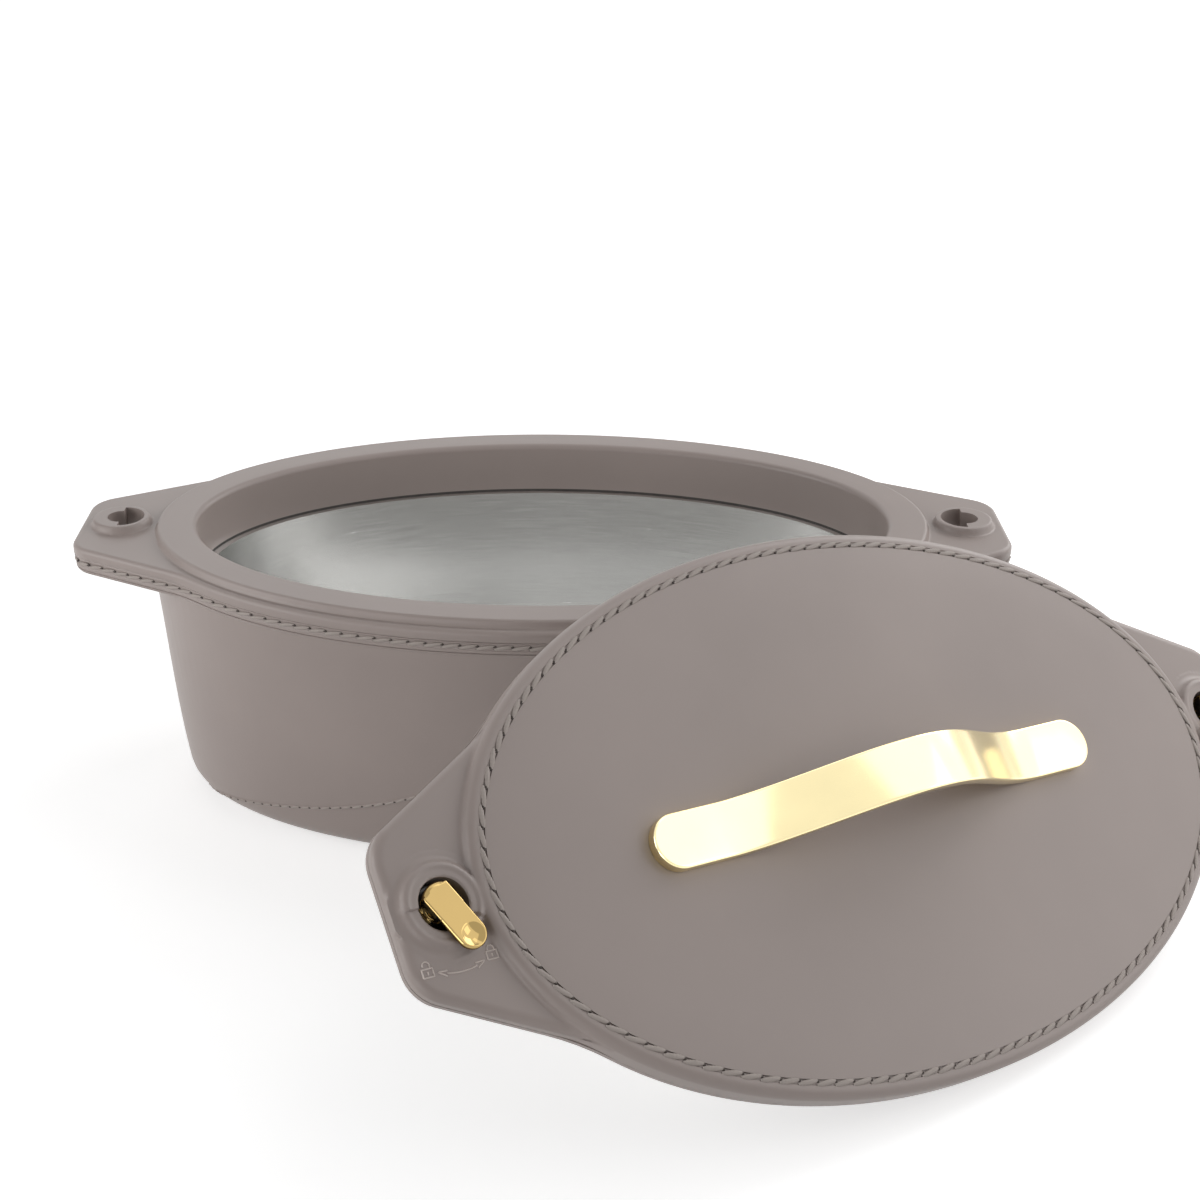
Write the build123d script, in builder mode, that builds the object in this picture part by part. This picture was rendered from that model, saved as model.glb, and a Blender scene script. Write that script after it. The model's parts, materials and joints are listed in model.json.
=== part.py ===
from build123d import *
import math
import os

os.makedirs("parts", exist_ok=True)

# ---------------------------------------------------------------- pot, mm
# Origin: centre of the base on the table. X: long axis. Z: up.
mouth_a = 130.0        # oval mouth, half length
mouth_b = 75.0         # oval mouth, half width
rim_w_a = 18.5         # rim's width at the two ends
rim_w_b = 17.0         # rim's width at the two sides
rim_a = mouth_a + rim_w_a
rim_b = mouth_b + rim_w_b
ear_out = 25.9         # ear beyond the rim
ear_tip_x = rim_a + ear_out
ear_tip_y = 21.9
ear_slope_in_x = 38.5  # ear's flanks start this far inside the rim
ear_slope_in_y = 35.4
ear_slope_x = rim_a - ear_slope_in_x
ear_slope_y = rim_b - ear_slope_in_y
ear_corner_r = 12.5
ear_root_r = 90.0
ear_root_in = 10.0

ring_z = 106.0         # top of the rim ring
ear_z = ring_z - 2.8   # top of the ears and of the outer band
part_z = ear_z - 4.2   # parting line between collar and shell
shell_ear_z = part_z - 5.8
ridge_a = rim_a - 3.6
ridge_b = rim_b - 3.4
mouth_round = 2.2
skirt_wall = 2.2
skirt_z = ring_z - 19.4  # bottom of the mouth wall
ear_round = 1.5
ridge_round = 1.3
boss_round = 0.7
overlap_z = 0.5        # ridge and bosses start this far inside the collar
hollow_in = 5.5        # collar's hollow to its rim
hollow_out = 1.8       # collar's hollow to the mouth wall
hollow_h = 3.8
hollow_a = mouth_a + skirt_wall + hollow_out
hollow_b = mouth_b + skirt_wall + hollow_out

boss_x = rim_a + 10.7  # lock axis
boss_r = 10.7
key_big_r = 8.6
key_small_r = 5.2
recess_r = 10.6        # round room under the keyhole for the lock tongue

shell_step = 0.4       # shell's band inside the collar's
wall_t = 2.5
wall_top_a = rim_a - 1.0
wall_top_b = rim_b - 0.8
wall_high_z = 62.0
wall_high_a = rim_a - 3.3
wall_high_b = rim_b - 4.0
wall_low_z = 31.0
wall_low_a = rim_a - 5.5
wall_low_b = rim_b - 8.6
foot_z = 1.0           # underside of the shell's floor
foot_a = rim_a - 9.1
foot_b = rim_b - 14.8
foot_round = 9.5
fill_hole_r = 13.0
plug_head_w = 4.0      # fill plug's head beyond its hole
plug_head_t = 0.7
fill_play = 0.1
base_ring_a = foot_a - 21.4
base_ring_b = foot_b - 19.2
base_ring_w = 8.0
base_ring_sink = 0.8   # depth of the ring's groove
base_ring_play = 0.1
base_ring_round = 0.6
base_ring_in_a = base_ring_a - base_ring_w
base_ring_in_b = base_ring_b - base_ring_w

bowl_t = 0.7
bowl_top_a = mouth_a - 2.6
bowl_top_b = mouth_b - 2.6
bowl_flange_a = mouth_a + 1.7
bowl_flange_b = mouth_b + 1.7
bowl_floor_z = 24.0
bowl_taper = 7.9
bowl_floor_a = bowl_top_a - bowl_taper
bowl_floor_b = bowl_top_b - bowl_taper
bowl_round = 16.0
gasket_t = 0.6
gasket_in = 0.2        # gasket back from the mouth
fit_gap = 0.05         # sheet metal in its moulded seat
foam_gap = 0.2         # foam to the walls around it
ear_screw_x = boss_x + 5.8
ear_screw_y = ear_tip_y - 4.9
ear_screw_spots = [(u * ear_screw_x, v * ear_screw_y) for u in (1, -1) for v in (1, -1)]
ear_screw_head = 1.9
ear_screw_sunk = 0.3   # head below the ear's underside
ear_screw_bite = 2.6   # into the collar
cross_l = 3.2          # cross recess of the screws
cross_w = 0.7
cross_t = 0.9
screw_r = 1.5
screw_head_r = 2.8
screw_play = 0.05
screw_free = 0.2       # screw in a hole that it only passes through

# ---------------------------------------------------------------- lid, mm
# Lid plane: its origin is the centre of the lid's top, Z points out of the top.
lid_over = 0.3         # lid beyond the rim
lid_a = rim_a + lid_over
lid_b = rim_b + lid_over
lid_step = 1.0         # slab with the cover's ears inside the lid's edge
lid_top_round = 3.2
lid_skin = 2.4
lid_ear_z = -3.4
lid_boss_z = -0.5
lid_boss_r = 11.6
lid_boss_round = 0.8
lid_part_z = -8.0      # between cover and underside
lid_seat_z = -10.5     # face that sits on the pot's ring
plug_a = mouth_a - 2.6
plug_b = mouth_b - 2.6
plug_wall = 2.4
plug_z = -21.5
plug_round = 0.6
plug_lip = 3.5
plug_lip_t = 0.8
liner_t = 0.5
liner_rim = 4.0
seal_high_z = -14.0
seal_low_z = -17.0
seal_sink = 1.2
seal_reach = 2.3
cavity_a = lid_a - 2.8
cavity_b = lid_b - 2.8
seat_round = 0.9
seal_fit = 0.1
seal_round = 1.0
seal_in_a = plug_a - seal_sink + seal_fit
seal_in_b = plug_b - seal_sink + seal_fit
stitch_in_a = lid_a - 5.8
stitch_in_b = lid_b - 5.8
stitch_band = 1.8
stitch_depth = 0.4

grip_half = 90.0
grip_w = 17.6
grip_t = 4.3
grip_pad = 24.0        # length of each flat end
grip_rise = 25.5
grip_screw_x = grip_half - 11.0
grip_skin = 0.8        # left over the screw's end
grip_screw_head = 3.0  # radius of the screw's head
grip_screw_head_h = 2.0
washer_room = 4.0
washer_r = 4.2
washer_t = 1.0

base_r = 7.3
socket_r = base_r + 0.4  # well for the lever's base
stem_r = 4.0
stem_play = 0.06
square = 5.2
square_h = 3.6
square_play = 0.05
hub_w = 9.6
hub_r = 5.4
hub_z = -0.4
hub_dish = 0.9         # depth of the dish in each end of the barrel
hub_dish_rim = 1.3
base_t = 2.0
wave_t = 0.4
wave_in = 0.2          # wave ring inside the base's edge and off the stem
arm_reach = 12.6
arm_tip_r = 4.7
arm_start = 0.6        # where the arm's top leaves the barrel
arm_sink = 0.02
arm_inside = 1.0
arm_low = 0.3
arm_tip_top = 3.7
dimple_r = 4.2
dimple_depth = 1.1
tongue_r = 8.2
tongue_hub_r = 4.9
tongue_t = 3.0
tongue_gap = 0.3       # tongue to the ledge above it when the lid is closed
cap_head_r = 2.9
cap_head_h = 1.9
cap_shank_r = 1.4
cap_bite = 2.0         # screw's end beyond the square's root
cap_play = 0.2
lever_closed = -66.0   # lever direction on the left ear, degrees from the lid's long axis
lever_travel = 60.0

# The lid stands on its front edge and leans against the pot's front right shoulder.
lean_yaw = math.radians(38.3)
lean_tilt = math.radians(42.7)
lean_spin = math.radians(-8.4)
lean_side = -1.6      # lid's centre along the line it leans on, from the pot's middle
lean_stand = 18.18     # lid's top over the furthest point of the pot's rim
floor_gap = 0.03

yaw_c = math.cos(lean_yaw)
yaw_s = math.sin(lean_yaw)
tilt_c = math.cos(lean_tilt)
tilt_s = math.sin(lean_tilt)
spin_c = math.cos(lean_spin)
spin_s = math.sin(lean_spin)
lid_x_dir = (
    yaw_c * spin_c - yaw_s * tilt_c * spin_s,
    yaw_s * spin_c + yaw_c * tilt_c * spin_s,
    tilt_s * spin_s,
)
lid_z_dir = (yaw_s * tilt_s, -yaw_c * tilt_s, tilt_c)
lid_half_height = math.hypot(lid_a * tilt_s * spin_s, lid_b * tilt_s * spin_c)
edge_saving = seat_round * (tilt_s + tilt_c - 1.0)
lean_z = lid_half_height - lid_seat_z * tilt_c - edge_saving + floor_gap
rim_reach = math.hypot(ridge_a * lid_z_dir[0], ridge_b * lid_z_dir[1]) + ring_z * tilt_c
lean_out = (rim_reach + lean_stand - tilt_c * lean_z) / tilt_s
lean_x = yaw_c * lean_side + yaw_s * lean_out
lean_y = yaw_s * lean_side - yaw_c * lean_out
lid = Plane(origin=(lean_x, lean_y, lean_z), x_dir=lid_x_dir, z_dir=lid_z_dir)
pot = Plane.XY


def at_height(part, plane, z):
    """Edges of a part that lie flat at one height over a plane."""
    found = []
    for edge in part.edges():
        low = plane.to_local_coords(edge.position_at(0.0)).Z
        mid = plane.to_local_coords(edge.position_at(0.37)).Z
        high = plane.to_local_coords(edge.position_at(1.0)).Z
        if max(abs(low - z), abs(mid - z), abs(high - z)) < 0.01:
            found.append(edge)
    return found


def outside(plane, edges, a, b):
    """Edges that lie outside an oval."""
    found = []
    for edge in edges:
        spot = plane.to_local_coords(edge.position_at(0.37))
        if (spot.X / a) ** 2 + (spot.Y / b) ** 2 > 1.0:
            found.append(edge)
    return found


def outline(plane, z, a, b, grow):
    """The oval with its two ears, shared by collar, shell, lid cover and lid underside."""
    with BuildSketch(plane.offset(z)) as flat:
        Ellipse(a, b)
        Polygon(
            (ear_slope_x, -ear_slope_y - grow),
            (ear_tip_x + grow, -ear_tip_y - grow),
            (ear_tip_x + grow, ear_tip_y + grow),
            (ear_slope_x, ear_slope_y + grow),
            align=None,
        )
        Polygon(
            (-ear_slope_x, ear_slope_y + grow),
            (-ear_tip_x - grow, ear_tip_y + grow),
            (-ear_tip_x - grow, -ear_tip_y - grow),
            (-ear_slope_x, -ear_slope_y - grow),
            align=None,
        )
        tips = [corner for corner in flat.vertices() if abs(corner.X) > ear_tip_x - ear_corner_r]
        fillet(tips, ear_corner_r + grow)
        roots = []
        for corner in flat.vertices():
            if ear_slope_x < abs(corner.X) < rim_a - ear_root_in:
                roots.append(corner)
        fillet(roots, ear_root_r)
    return flat.sketch


pot_outline = outline(pot, part_z, rim_a, rim_b, 0.0)
shell_outline = outline(pot, shell_ear_z, rim_a - shell_step, rim_b - shell_step, -shell_step)
lid_cover_outline = outline(lid, lid_part_z, lid_a - lid_step, lid_b - lid_step, lid_over)
lid_under_outline = outline(lid, lid_seat_z, lid_a, lid_b, lid_over)

# ---------------------------------------------------------------- pot pieces
with BuildPart() as rim_collar:
    extrude(to_extrude=pot_outline, amount=ear_z - part_z)
    fillet(at_height(rim_collar.part, pot, ear_z), ear_round)
    with BuildSketch(pot.offset(ear_z - overlap_z)):
        Ellipse(ridge_a, ridge_b)
    extrude(amount=ring_z - ear_z + overlap_z)
    fillet(at_height(rim_collar.part, pot, ring_z), ridge_round)
    with BuildSketch(pot.offset(ear_z - overlap_z)):
        with Locations((boss_x, 0), (-boss_x, 0)):
            Circle(boss_r)
    extrude(amount=ring_z - ear_z + overlap_z)
    fillet(outside(pot, at_height(rim_collar.part, pot, ring_z), rim_a, rim_b), boss_round)
    with BuildSketch(pot.offset(skirt_z)):
        Ellipse(mouth_a + skirt_wall, mouth_b + skirt_wall)
    extrude(amount=part_z - skirt_z)
    with BuildSketch(pot.offset(part_z)):
        Ellipse(rim_a - hollow_in, rim_b - hollow_in)
        Ellipse(hollow_a, hollow_b, mode=Mode.SUBTRACT)
    extrude(amount=hollow_h, mode=Mode.SUBTRACT)
    with BuildSketch(pot.offset(skirt_z)):
        Ellipse(mouth_a, mouth_b)
    extrude(amount=ring_z - skirt_z, mode=Mode.SUBTRACT)
    top_edges = at_height(rim_collar.part, pot, ring_z)
    wide_edges = outside(pot, top_edges, (mouth_a + ridge_a) / 2, (mouth_b + ridge_b) / 2)
    mouth_edges = [edge for edge in top_edges if edge not in wide_edges]
    fillet(mouth_edges, mouth_round)
    with BuildSketch(pot.offset(part_z)):
        with Locations((boss_x, 0), (-boss_x, 0)):
            Circle(key_big_r)
        with Locations((boss_x + key_big_r, 0), (-boss_x - key_big_r, 0)):
            Rectangle(2 * key_big_r, 3 * key_big_r, mode=Mode.SUBTRACT)
        with Locations((boss_x, 0), (-boss_x, 0)):
            Circle(key_small_r)
    extrude(amount=ring_z - part_z, mode=Mode.SUBTRACT)
    with BuildSketch(pot.offset(part_z)):
        with Locations(*ear_screw_spots):
            Circle(screw_r + screw_play)
    extrude(amount=ear_screw_bite + screw_play, mode=Mode.SUBTRACT)
rim_collar.part.label = "rim_collar"

with BuildPart() as shell_void:
    with BuildSketch(pot.offset(foot_z + wall_t)):
        Ellipse(foot_a - wall_t, foot_b - wall_t)
    with BuildSketch(pot.offset(wall_low_z)):
        Ellipse(wall_low_a - wall_t, wall_low_b - wall_t)
    with BuildSketch(pot.offset(wall_high_z)):
        Ellipse(wall_high_a - wall_t, wall_high_b - wall_t)
    with BuildSketch(pot.offset(part_z)):
        Ellipse(wall_top_a - wall_t, wall_top_b - wall_t)
    loft()
    fillet(at_height(shell_void.part, pot, foot_z + wall_t), foot_round - wall_t)

with BuildPart() as outer_shell:
    with BuildSketch(pot.offset(foot_z)):
        Ellipse(foot_a, foot_b)
    with BuildSketch(pot.offset(wall_low_z)):
        Ellipse(wall_low_a, wall_low_b)
    with BuildSketch(pot.offset(wall_high_z)):
        Ellipse(wall_high_a, wall_high_b)
    with BuildSketch(pot.offset(shell_ear_z)):
        Ellipse(wall_top_a, wall_top_b)
    loft()
    fillet(at_height(outer_shell.part, pot, foot_z), foot_round)
    extrude(to_extrude=shell_outline, amount=part_z - shell_ear_z)
    add(shell_void.part, mode=Mode.SUBTRACT)
    with BuildSketch(pot.offset(shell_ear_z)):
        with Locations((boss_x, 0), (-boss_x, 0)):
            Circle(recess_r)
    extrude(amount=part_z - shell_ear_z, mode=Mode.SUBTRACT)
    with BuildSketch(pot.offset(shell_ear_z)):
        with Locations(*ear_screw_spots):
            Circle(screw_r + screw_free)
    extrude(amount=part_z - shell_ear_z, mode=Mode.SUBTRACT)
    with BuildSketch(pot.offset(shell_ear_z)):
        with Locations(*ear_screw_spots):
            Circle(screw_head_r + screw_free)
    extrude(amount=ear_screw_head + ear_screw_sunk, mode=Mode.SUBTRACT)
    with BuildSketch(pot.offset(foot_z)):
        Circle(fill_hole_r)
    extrude(amount=wall_t, mode=Mode.SUBTRACT)
    with BuildSketch(pot.offset(foot_z)):
        Ellipse(base_ring_a + base_ring_play, base_ring_b + base_ring_play)
        Ellipse(base_ring_in_a - base_ring_play, base_ring_in_b - base_ring_play, mode=Mode.SUBTRACT)
    extrude(amount=base_ring_sink, mode=Mode.SUBTRACT)
outer_shell.part.label = "outer_shell"

with BuildPart() as fill_plug:
    with BuildSketch(pot.offset(foot_z - plug_head_t)):
        Circle(fill_hole_r + plug_head_w)
    extrude(amount=plug_head_t)
    with BuildSketch(pot.offset(foot_z)):
        Circle(fill_hole_r - fill_play)
    extrude(amount=wall_t)
fill_plug.part.label = "fill_plug"

with BuildPart() as base_ring:
    with BuildSketch(pot):
        Ellipse(base_ring_a, base_ring_b)
        Ellipse(base_ring_in_a, base_ring_in_b, mode=Mode.SUBTRACT)
    extrude(amount=foot_z + base_ring_sink)
    fillet(at_height(base_ring.part, pot, 0.0), base_ring_round)
base_ring.part.label = "base_ring"

with BuildPart() as bowl_void:
    with BuildSketch(pot.offset(bowl_floor_z + bowl_t)):
        Ellipse(bowl_floor_a - bowl_t, bowl_floor_b - bowl_t)
    with BuildSketch(pot.offset(skirt_z - gasket_t)):
        Ellipse(bowl_top_a - bowl_t, bowl_top_b - bowl_t)
    loft()
    fillet(at_height(bowl_void.part, pot, bowl_floor_z + bowl_t), bowl_round - bowl_t)

with BuildPart() as inner_bowl:
    with BuildSketch(pot.offset(bowl_floor_z)):
        Ellipse(bowl_floor_a, bowl_floor_b)
    with BuildSketch(pot.offset(skirt_z - gasket_t)):
        Ellipse(bowl_top_a, bowl_top_b)
    loft()
    fillet(at_height(inner_bowl.part, pot, bowl_floor_z), bowl_round)
    with BuildSketch(pot.offset(skirt_z - gasket_t - bowl_t)):
        Ellipse(bowl_flange_a, bowl_flange_b)
    extrude(amount=bowl_t)
    add(bowl_void.part, mode=Mode.SUBTRACT)
inner_bowl.part.label = "inner_bowl"

with BuildPart() as bowl_gasket:
    with BuildSketch(pot.offset(skirt_z - gasket_t)):
        Ellipse(bowl_flange_a, bowl_flange_b)
        Ellipse(mouth_a + gasket_in, mouth_b + gasket_in, mode=Mode.SUBTRACT)
    extrude(amount=gasket_t)
bowl_gasket.part.label = "bowl_gasket"

with BuildPart() as bowl_bed:
    with BuildSketch(pot.offset(bowl_floor_z - foam_gap)):
        Ellipse(bowl_floor_a + foam_gap, bowl_floor_b + foam_gap)
    with BuildSketch(pot.offset(skirt_z - gasket_t)):
        Ellipse(bowl_top_a + foam_gap, bowl_top_b + foam_gap)
    loft()
    fillet(at_height(bowl_bed.part, pot, bowl_floor_z - foam_gap), bowl_round)

with BuildPart() as body_insulation:
    with BuildSketch(pot.offset(foot_z + wall_t + foam_gap)):
        Ellipse(foot_a - wall_t - foam_gap, foot_b - wall_t - foam_gap)
    with BuildSketch(pot.offset(wall_low_z)):
        Ellipse(wall_low_a - wall_t - foam_gap, wall_low_b - wall_t - foam_gap)
    with BuildSketch(pot.offset(wall_high_z)):
        Ellipse(wall_high_a - wall_t - foam_gap, wall_high_b - wall_t - foam_gap)
    with BuildSketch(pot.offset(part_z - foam_gap)):
        Ellipse(wall_top_a - wall_t - foam_gap, wall_top_b - wall_t - foam_gap)
    loft()
    fillet(at_height(body_insulation.part, pot, foot_z + wall_t + foam_gap), foot_round - wall_t)
    with BuildSketch(pot.offset(skirt_z - gasket_t - bowl_t - foam_gap)):
        Ellipse(mouth_a + skirt_wall + foam_gap, mouth_b + skirt_wall + foam_gap)
    extrude(amount=ring_z - skirt_z, mode=Mode.SUBTRACT)
    add(bowl_bed.part, mode=Mode.SUBTRACT)
body_insulation.part.label = "body_insulation"

with BuildPart() as ear_screws:
    with BuildSketch(pot.offset(shell_ear_z + ear_screw_sunk)):
        with Locations(*ear_screw_spots):
            Circle(screw_head_r)
    extrude(amount=ear_screw_head)
    with BuildSketch(pot.offset(shell_ear_z + ear_screw_sunk)):
        with Locations(*ear_screw_spots):
            Circle(screw_r)
    extrude(amount=part_z + ear_screw_bite - shell_ear_z - ear_screw_sunk)
    with BuildSketch(pot.offset(shell_ear_z + ear_screw_sunk)):
        with Locations(*ear_screw_spots):
            Rectangle(cross_l, cross_w)
            Rectangle(cross_w, cross_l)
    extrude(amount=cross_t, mode=Mode.SUBTRACT)
ear_screws.part.label = "ear_screws"

# ---------------------------------------------------------------- lid pieces
with BuildPart() as lid_dome:
    with BuildSketch(lid.offset(lid_part_z)):
        Ellipse(lid_a, lid_b)
    extrude(amount=-lid_part_z)
    fillet(at_height(lid_dome.part, lid, 0.0), lid_top_round)

with BuildPart() as lid_cover:
    extrude(to_extrude=lid_cover_outline, amount=lid_ear_z - lid_part_z)
    fillet(at_height(lid_cover.part, lid, lid_ear_z), ear_round)
    add(lid_dome.part)
    with BuildSketch(lid.offset(lid_part_z)):
        with Locations((boss_x, 0), (-boss_x, 0)):
            Circle(lid_boss_r)
    extrude(amount=lid_boss_z - lid_part_z)
    with BuildSketch(lid.offset(lid_part_z)):
        with Locations((boss_x, 0), (-boss_x, 0)):
            Circle(socket_r)
    extrude(amount=-lid_part_z, mode=Mode.SUBTRACT)
    boss_edges = at_height(lid_cover.part, lid, lid_boss_z)
    fillet(outside(lid, boss_edges, lid_a - lid_top_round, lid_b), lid_boss_round)
    with BuildSketch(lid.offset(lid_part_z)):
        Ellipse(cavity_a, cavity_b)
    extrude(amount=-lid_part_z - lid_skin, mode=Mode.SUBTRACT)
    with BuildSketch(lid):
        Ellipse(stitch_in_a + stitch_band, stitch_in_b + stitch_band)
        Ellipse(stitch_in_a, stitch_in_b, mode=Mode.SUBTRACT)
    extrude(amount=-stitch_depth, mode=Mode.SUBTRACT)
    with BuildSketch(lid.offset(-lid_skin)):
        with Locations((grip_screw_x, 0), (-grip_screw_x, 0)):
            Circle(screw_r + screw_free)
    extrude(amount=lid_skin, mode=Mode.SUBTRACT)
lid_cover.part.label = "lid_cover"

with BuildPart() as lid_underside:
    extrude(to_extrude=lid_under_outline, amount=lid_part_z - lid_seat_z)
    fillet(at_height(lid_underside.part, lid, lid_seat_z), seat_round)
    with BuildSketch(lid.offset(plug_z)):
        Ellipse(plug_a, plug_b)
    extrude(amount=lid_part_z - plug_z)
    fillet(at_height(lid_underside.part, lid, plug_z), plug_round)
    with BuildSketch(lid.offset(plug_z + plug_lip_t)):
        Ellipse(plug_a - plug_wall, plug_b - plug_wall)
    extrude(amount=lid_part_z - plug_z, mode=Mode.SUBTRACT)
    with BuildSketch(lid.offset(plug_z)):
        Ellipse(plug_a - plug_wall - plug_lip, plug_b - plug_wall - plug_lip)
    extrude(amount=plug_lip_t, mode=Mode.SUBTRACT)
    with BuildSketch(lid.offset(seal_low_z)):
        Ellipse(plug_a + seal_reach, plug_b + seal_reach)
        Ellipse(plug_a - seal_sink, plug_b - seal_sink, mode=Mode.SUBTRACT)
    extrude(amount=seal_high_z - seal_low_z, mode=Mode.SUBTRACT)
    with BuildSketch(lid.offset(lid_seat_z)):
        with Locations((boss_x, 0), (-boss_x, 0)):
            Circle(stem_r + stem_play)
    extrude(amount=lid_part_z - lid_seat_z, mode=Mode.SUBTRACT)
lid_underside.part.label = "lid_underside"

with BuildPart() as lid_liner:
    with BuildSketch(lid.offset(plug_z + plug_lip_t)):
        Ellipse(plug_a - plug_wall - fit_gap, plug_b - plug_wall - fit_gap)
    extrude(amount=liner_rim)
    with BuildSketch(lid.offset(plug_z + plug_lip_t + liner_t)):
        Ellipse(plug_a - plug_wall - fit_gap - liner_t, plug_b - plug_wall - fit_gap - liner_t)
    extrude(amount=liner_rim, mode=Mode.SUBTRACT)
lid_liner.part.label = "lid_liner"

with BuildPart() as lid_insulation:
    with BuildSketch(lid.offset(plug_z + plug_lip_t + liner_t + foam_gap)):
        Ellipse(plug_a - plug_wall - liner_t - foam_gap, plug_b - plug_wall - liner_t - foam_gap)
    extrude(amount=lid_part_z + foam_gap - plug_z - plug_lip_t - liner_t - foam_gap)
    with BuildSketch(lid.offset(lid_part_z + foam_gap)):
        Ellipse(cavity_a - foam_gap, cavity_b - foam_gap)
    extrude(amount=-lid_part_z - lid_skin - 2 * foam_gap)
    with BuildSketch(lid.offset(-lid_skin - washer_room)):
        with Locations((grip_screw_x, 0), (-grip_screw_x, 0)):
            Circle(washer_r + foam_gap)
    extrude(amount=washer_room, mode=Mode.SUBTRACT)
lid_insulation.part.label = "lid_insulation"

with BuildPart() as lid_seal:
    with BuildSketch(lid.offset(seal_low_z + seal_fit)):
        Ellipse(plug_a + seal_reach, plug_b + seal_reach)
        Ellipse(seal_in_a, seal_in_b, mode=Mode.SUBTRACT)
    extrude(amount=seal_high_z - seal_low_z - 2 * seal_fit)
    seal_edges = at_height(lid_seal.part, lid, seal_low_z + seal_fit)
    seal_edges = seal_edges + at_height(lid_seal.part, lid, seal_high_z - seal_fit)
    fillet(outside(lid, seal_edges, plug_a, plug_b), seal_round)
lid_seal.part.label = "lid_seal"

lid_side = Plane(origin=lid.origin, x_dir=lid.x_dir, z_dir=lid.y_dir * -1)
with BuildPart() as lid_handle:
    with BuildSketch(lid_side):
        with BuildLine():
            Line((-grip_half, 0), (-grip_half, grip_t))
            Line((-grip_half, grip_t), (-grip_half + grip_pad, grip_t))
            Spline(
                (-grip_half + grip_pad, grip_t),
                (0, grip_t + grip_rise),
                tangents=((1, 0), (1, 0)),
            )
            Spline(
                (0, grip_t + grip_rise),
                (grip_half - grip_pad, grip_t),
                tangents=((1, 0), (1, 0)),
            )
            Line((grip_half - grip_pad, grip_t), (grip_half, grip_t))
            Line((grip_half, grip_t), (grip_half, 0))
            Line((grip_half, 0), (grip_half - grip_pad, 0))
            Spline(
                (grip_half - grip_pad, 0),
                (0, grip_rise),
                tangents=((-1, 0), (-1, 0)),
            )
            Spline(
                (0, grip_rise),
                (-grip_half + grip_pad, 0),
                tangents=((-1, 0), (-1, 0)),
            )
            Line((-grip_half + grip_pad, 0), (-grip_half, 0))
        make_face()
    extrude(amount=grip_w, both=True)
    with BuildSketch(lid):
        SlotOverall(2 * grip_half, grip_w)
    extrude(amount=grip_rise + grip_t, mode=Mode.INTERSECT)
    with BuildSketch(lid):
        with Locations((grip_screw_x, 0), (-grip_screw_x, 0)):
            Circle(screw_r + screw_play)
    extrude(amount=grip_t - grip_skin, mode=Mode.SUBTRACT)
lid_handle.part.label = "lid_handle"

with BuildPart() as handle_screws:
    with BuildSketch(lid.offset(-lid_skin - washer_t - grip_screw_head_h)):
        with Locations((grip_screw_x, 0), (-grip_screw_x, 0)):
            Circle(grip_screw_head)
    extrude(amount=grip_screw_head_h)
    with BuildSketch(lid.offset(-lid_skin - washer_t)):
        with Locations((grip_screw_x, 0), (-grip_screw_x, 0)):
            Circle(screw_r)
    extrude(amount=lid_skin + washer_t + grip_t - grip_skin - screw_free)
handle_screws.part.label = "handle_screws"

with BuildPart() as handle_washers:
    with BuildSketch(lid.offset(-lid_skin - washer_t)):
        with Locations((grip_screw_x, 0), (-grip_screw_x, 0)):
            Circle(washer_r)
            Circle(screw_r + screw_free, mode=Mode.SUBTRACT)
    extrude(amount=washer_t)
handle_washers.part.label = "handle_washers"

# ---------------------------------------------------------------- locks
base_z = lid_part_z + wave_t
tongue_top = lid_seat_z - (ring_z - part_z) - 2 * tongue_gap
hub_top = lid_seat_z - tongue_gap


def lock_plane(side):
    """Plane on a lock's axis with X along its lever."""
    angle = math.radians(lever_closed)
    if side > 0:
        angle = math.pi - angle
    centre = lid.from_local_coords(Vector(side * boss_x, 0, 0))
    along = lid.from_local_coords(
        Vector(side * boss_x + math.cos(angle), math.sin(angle), 0)
    )
    return Plane(origin=centre, x_dir=along - centre, z_dir=lid.z_dir)


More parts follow.
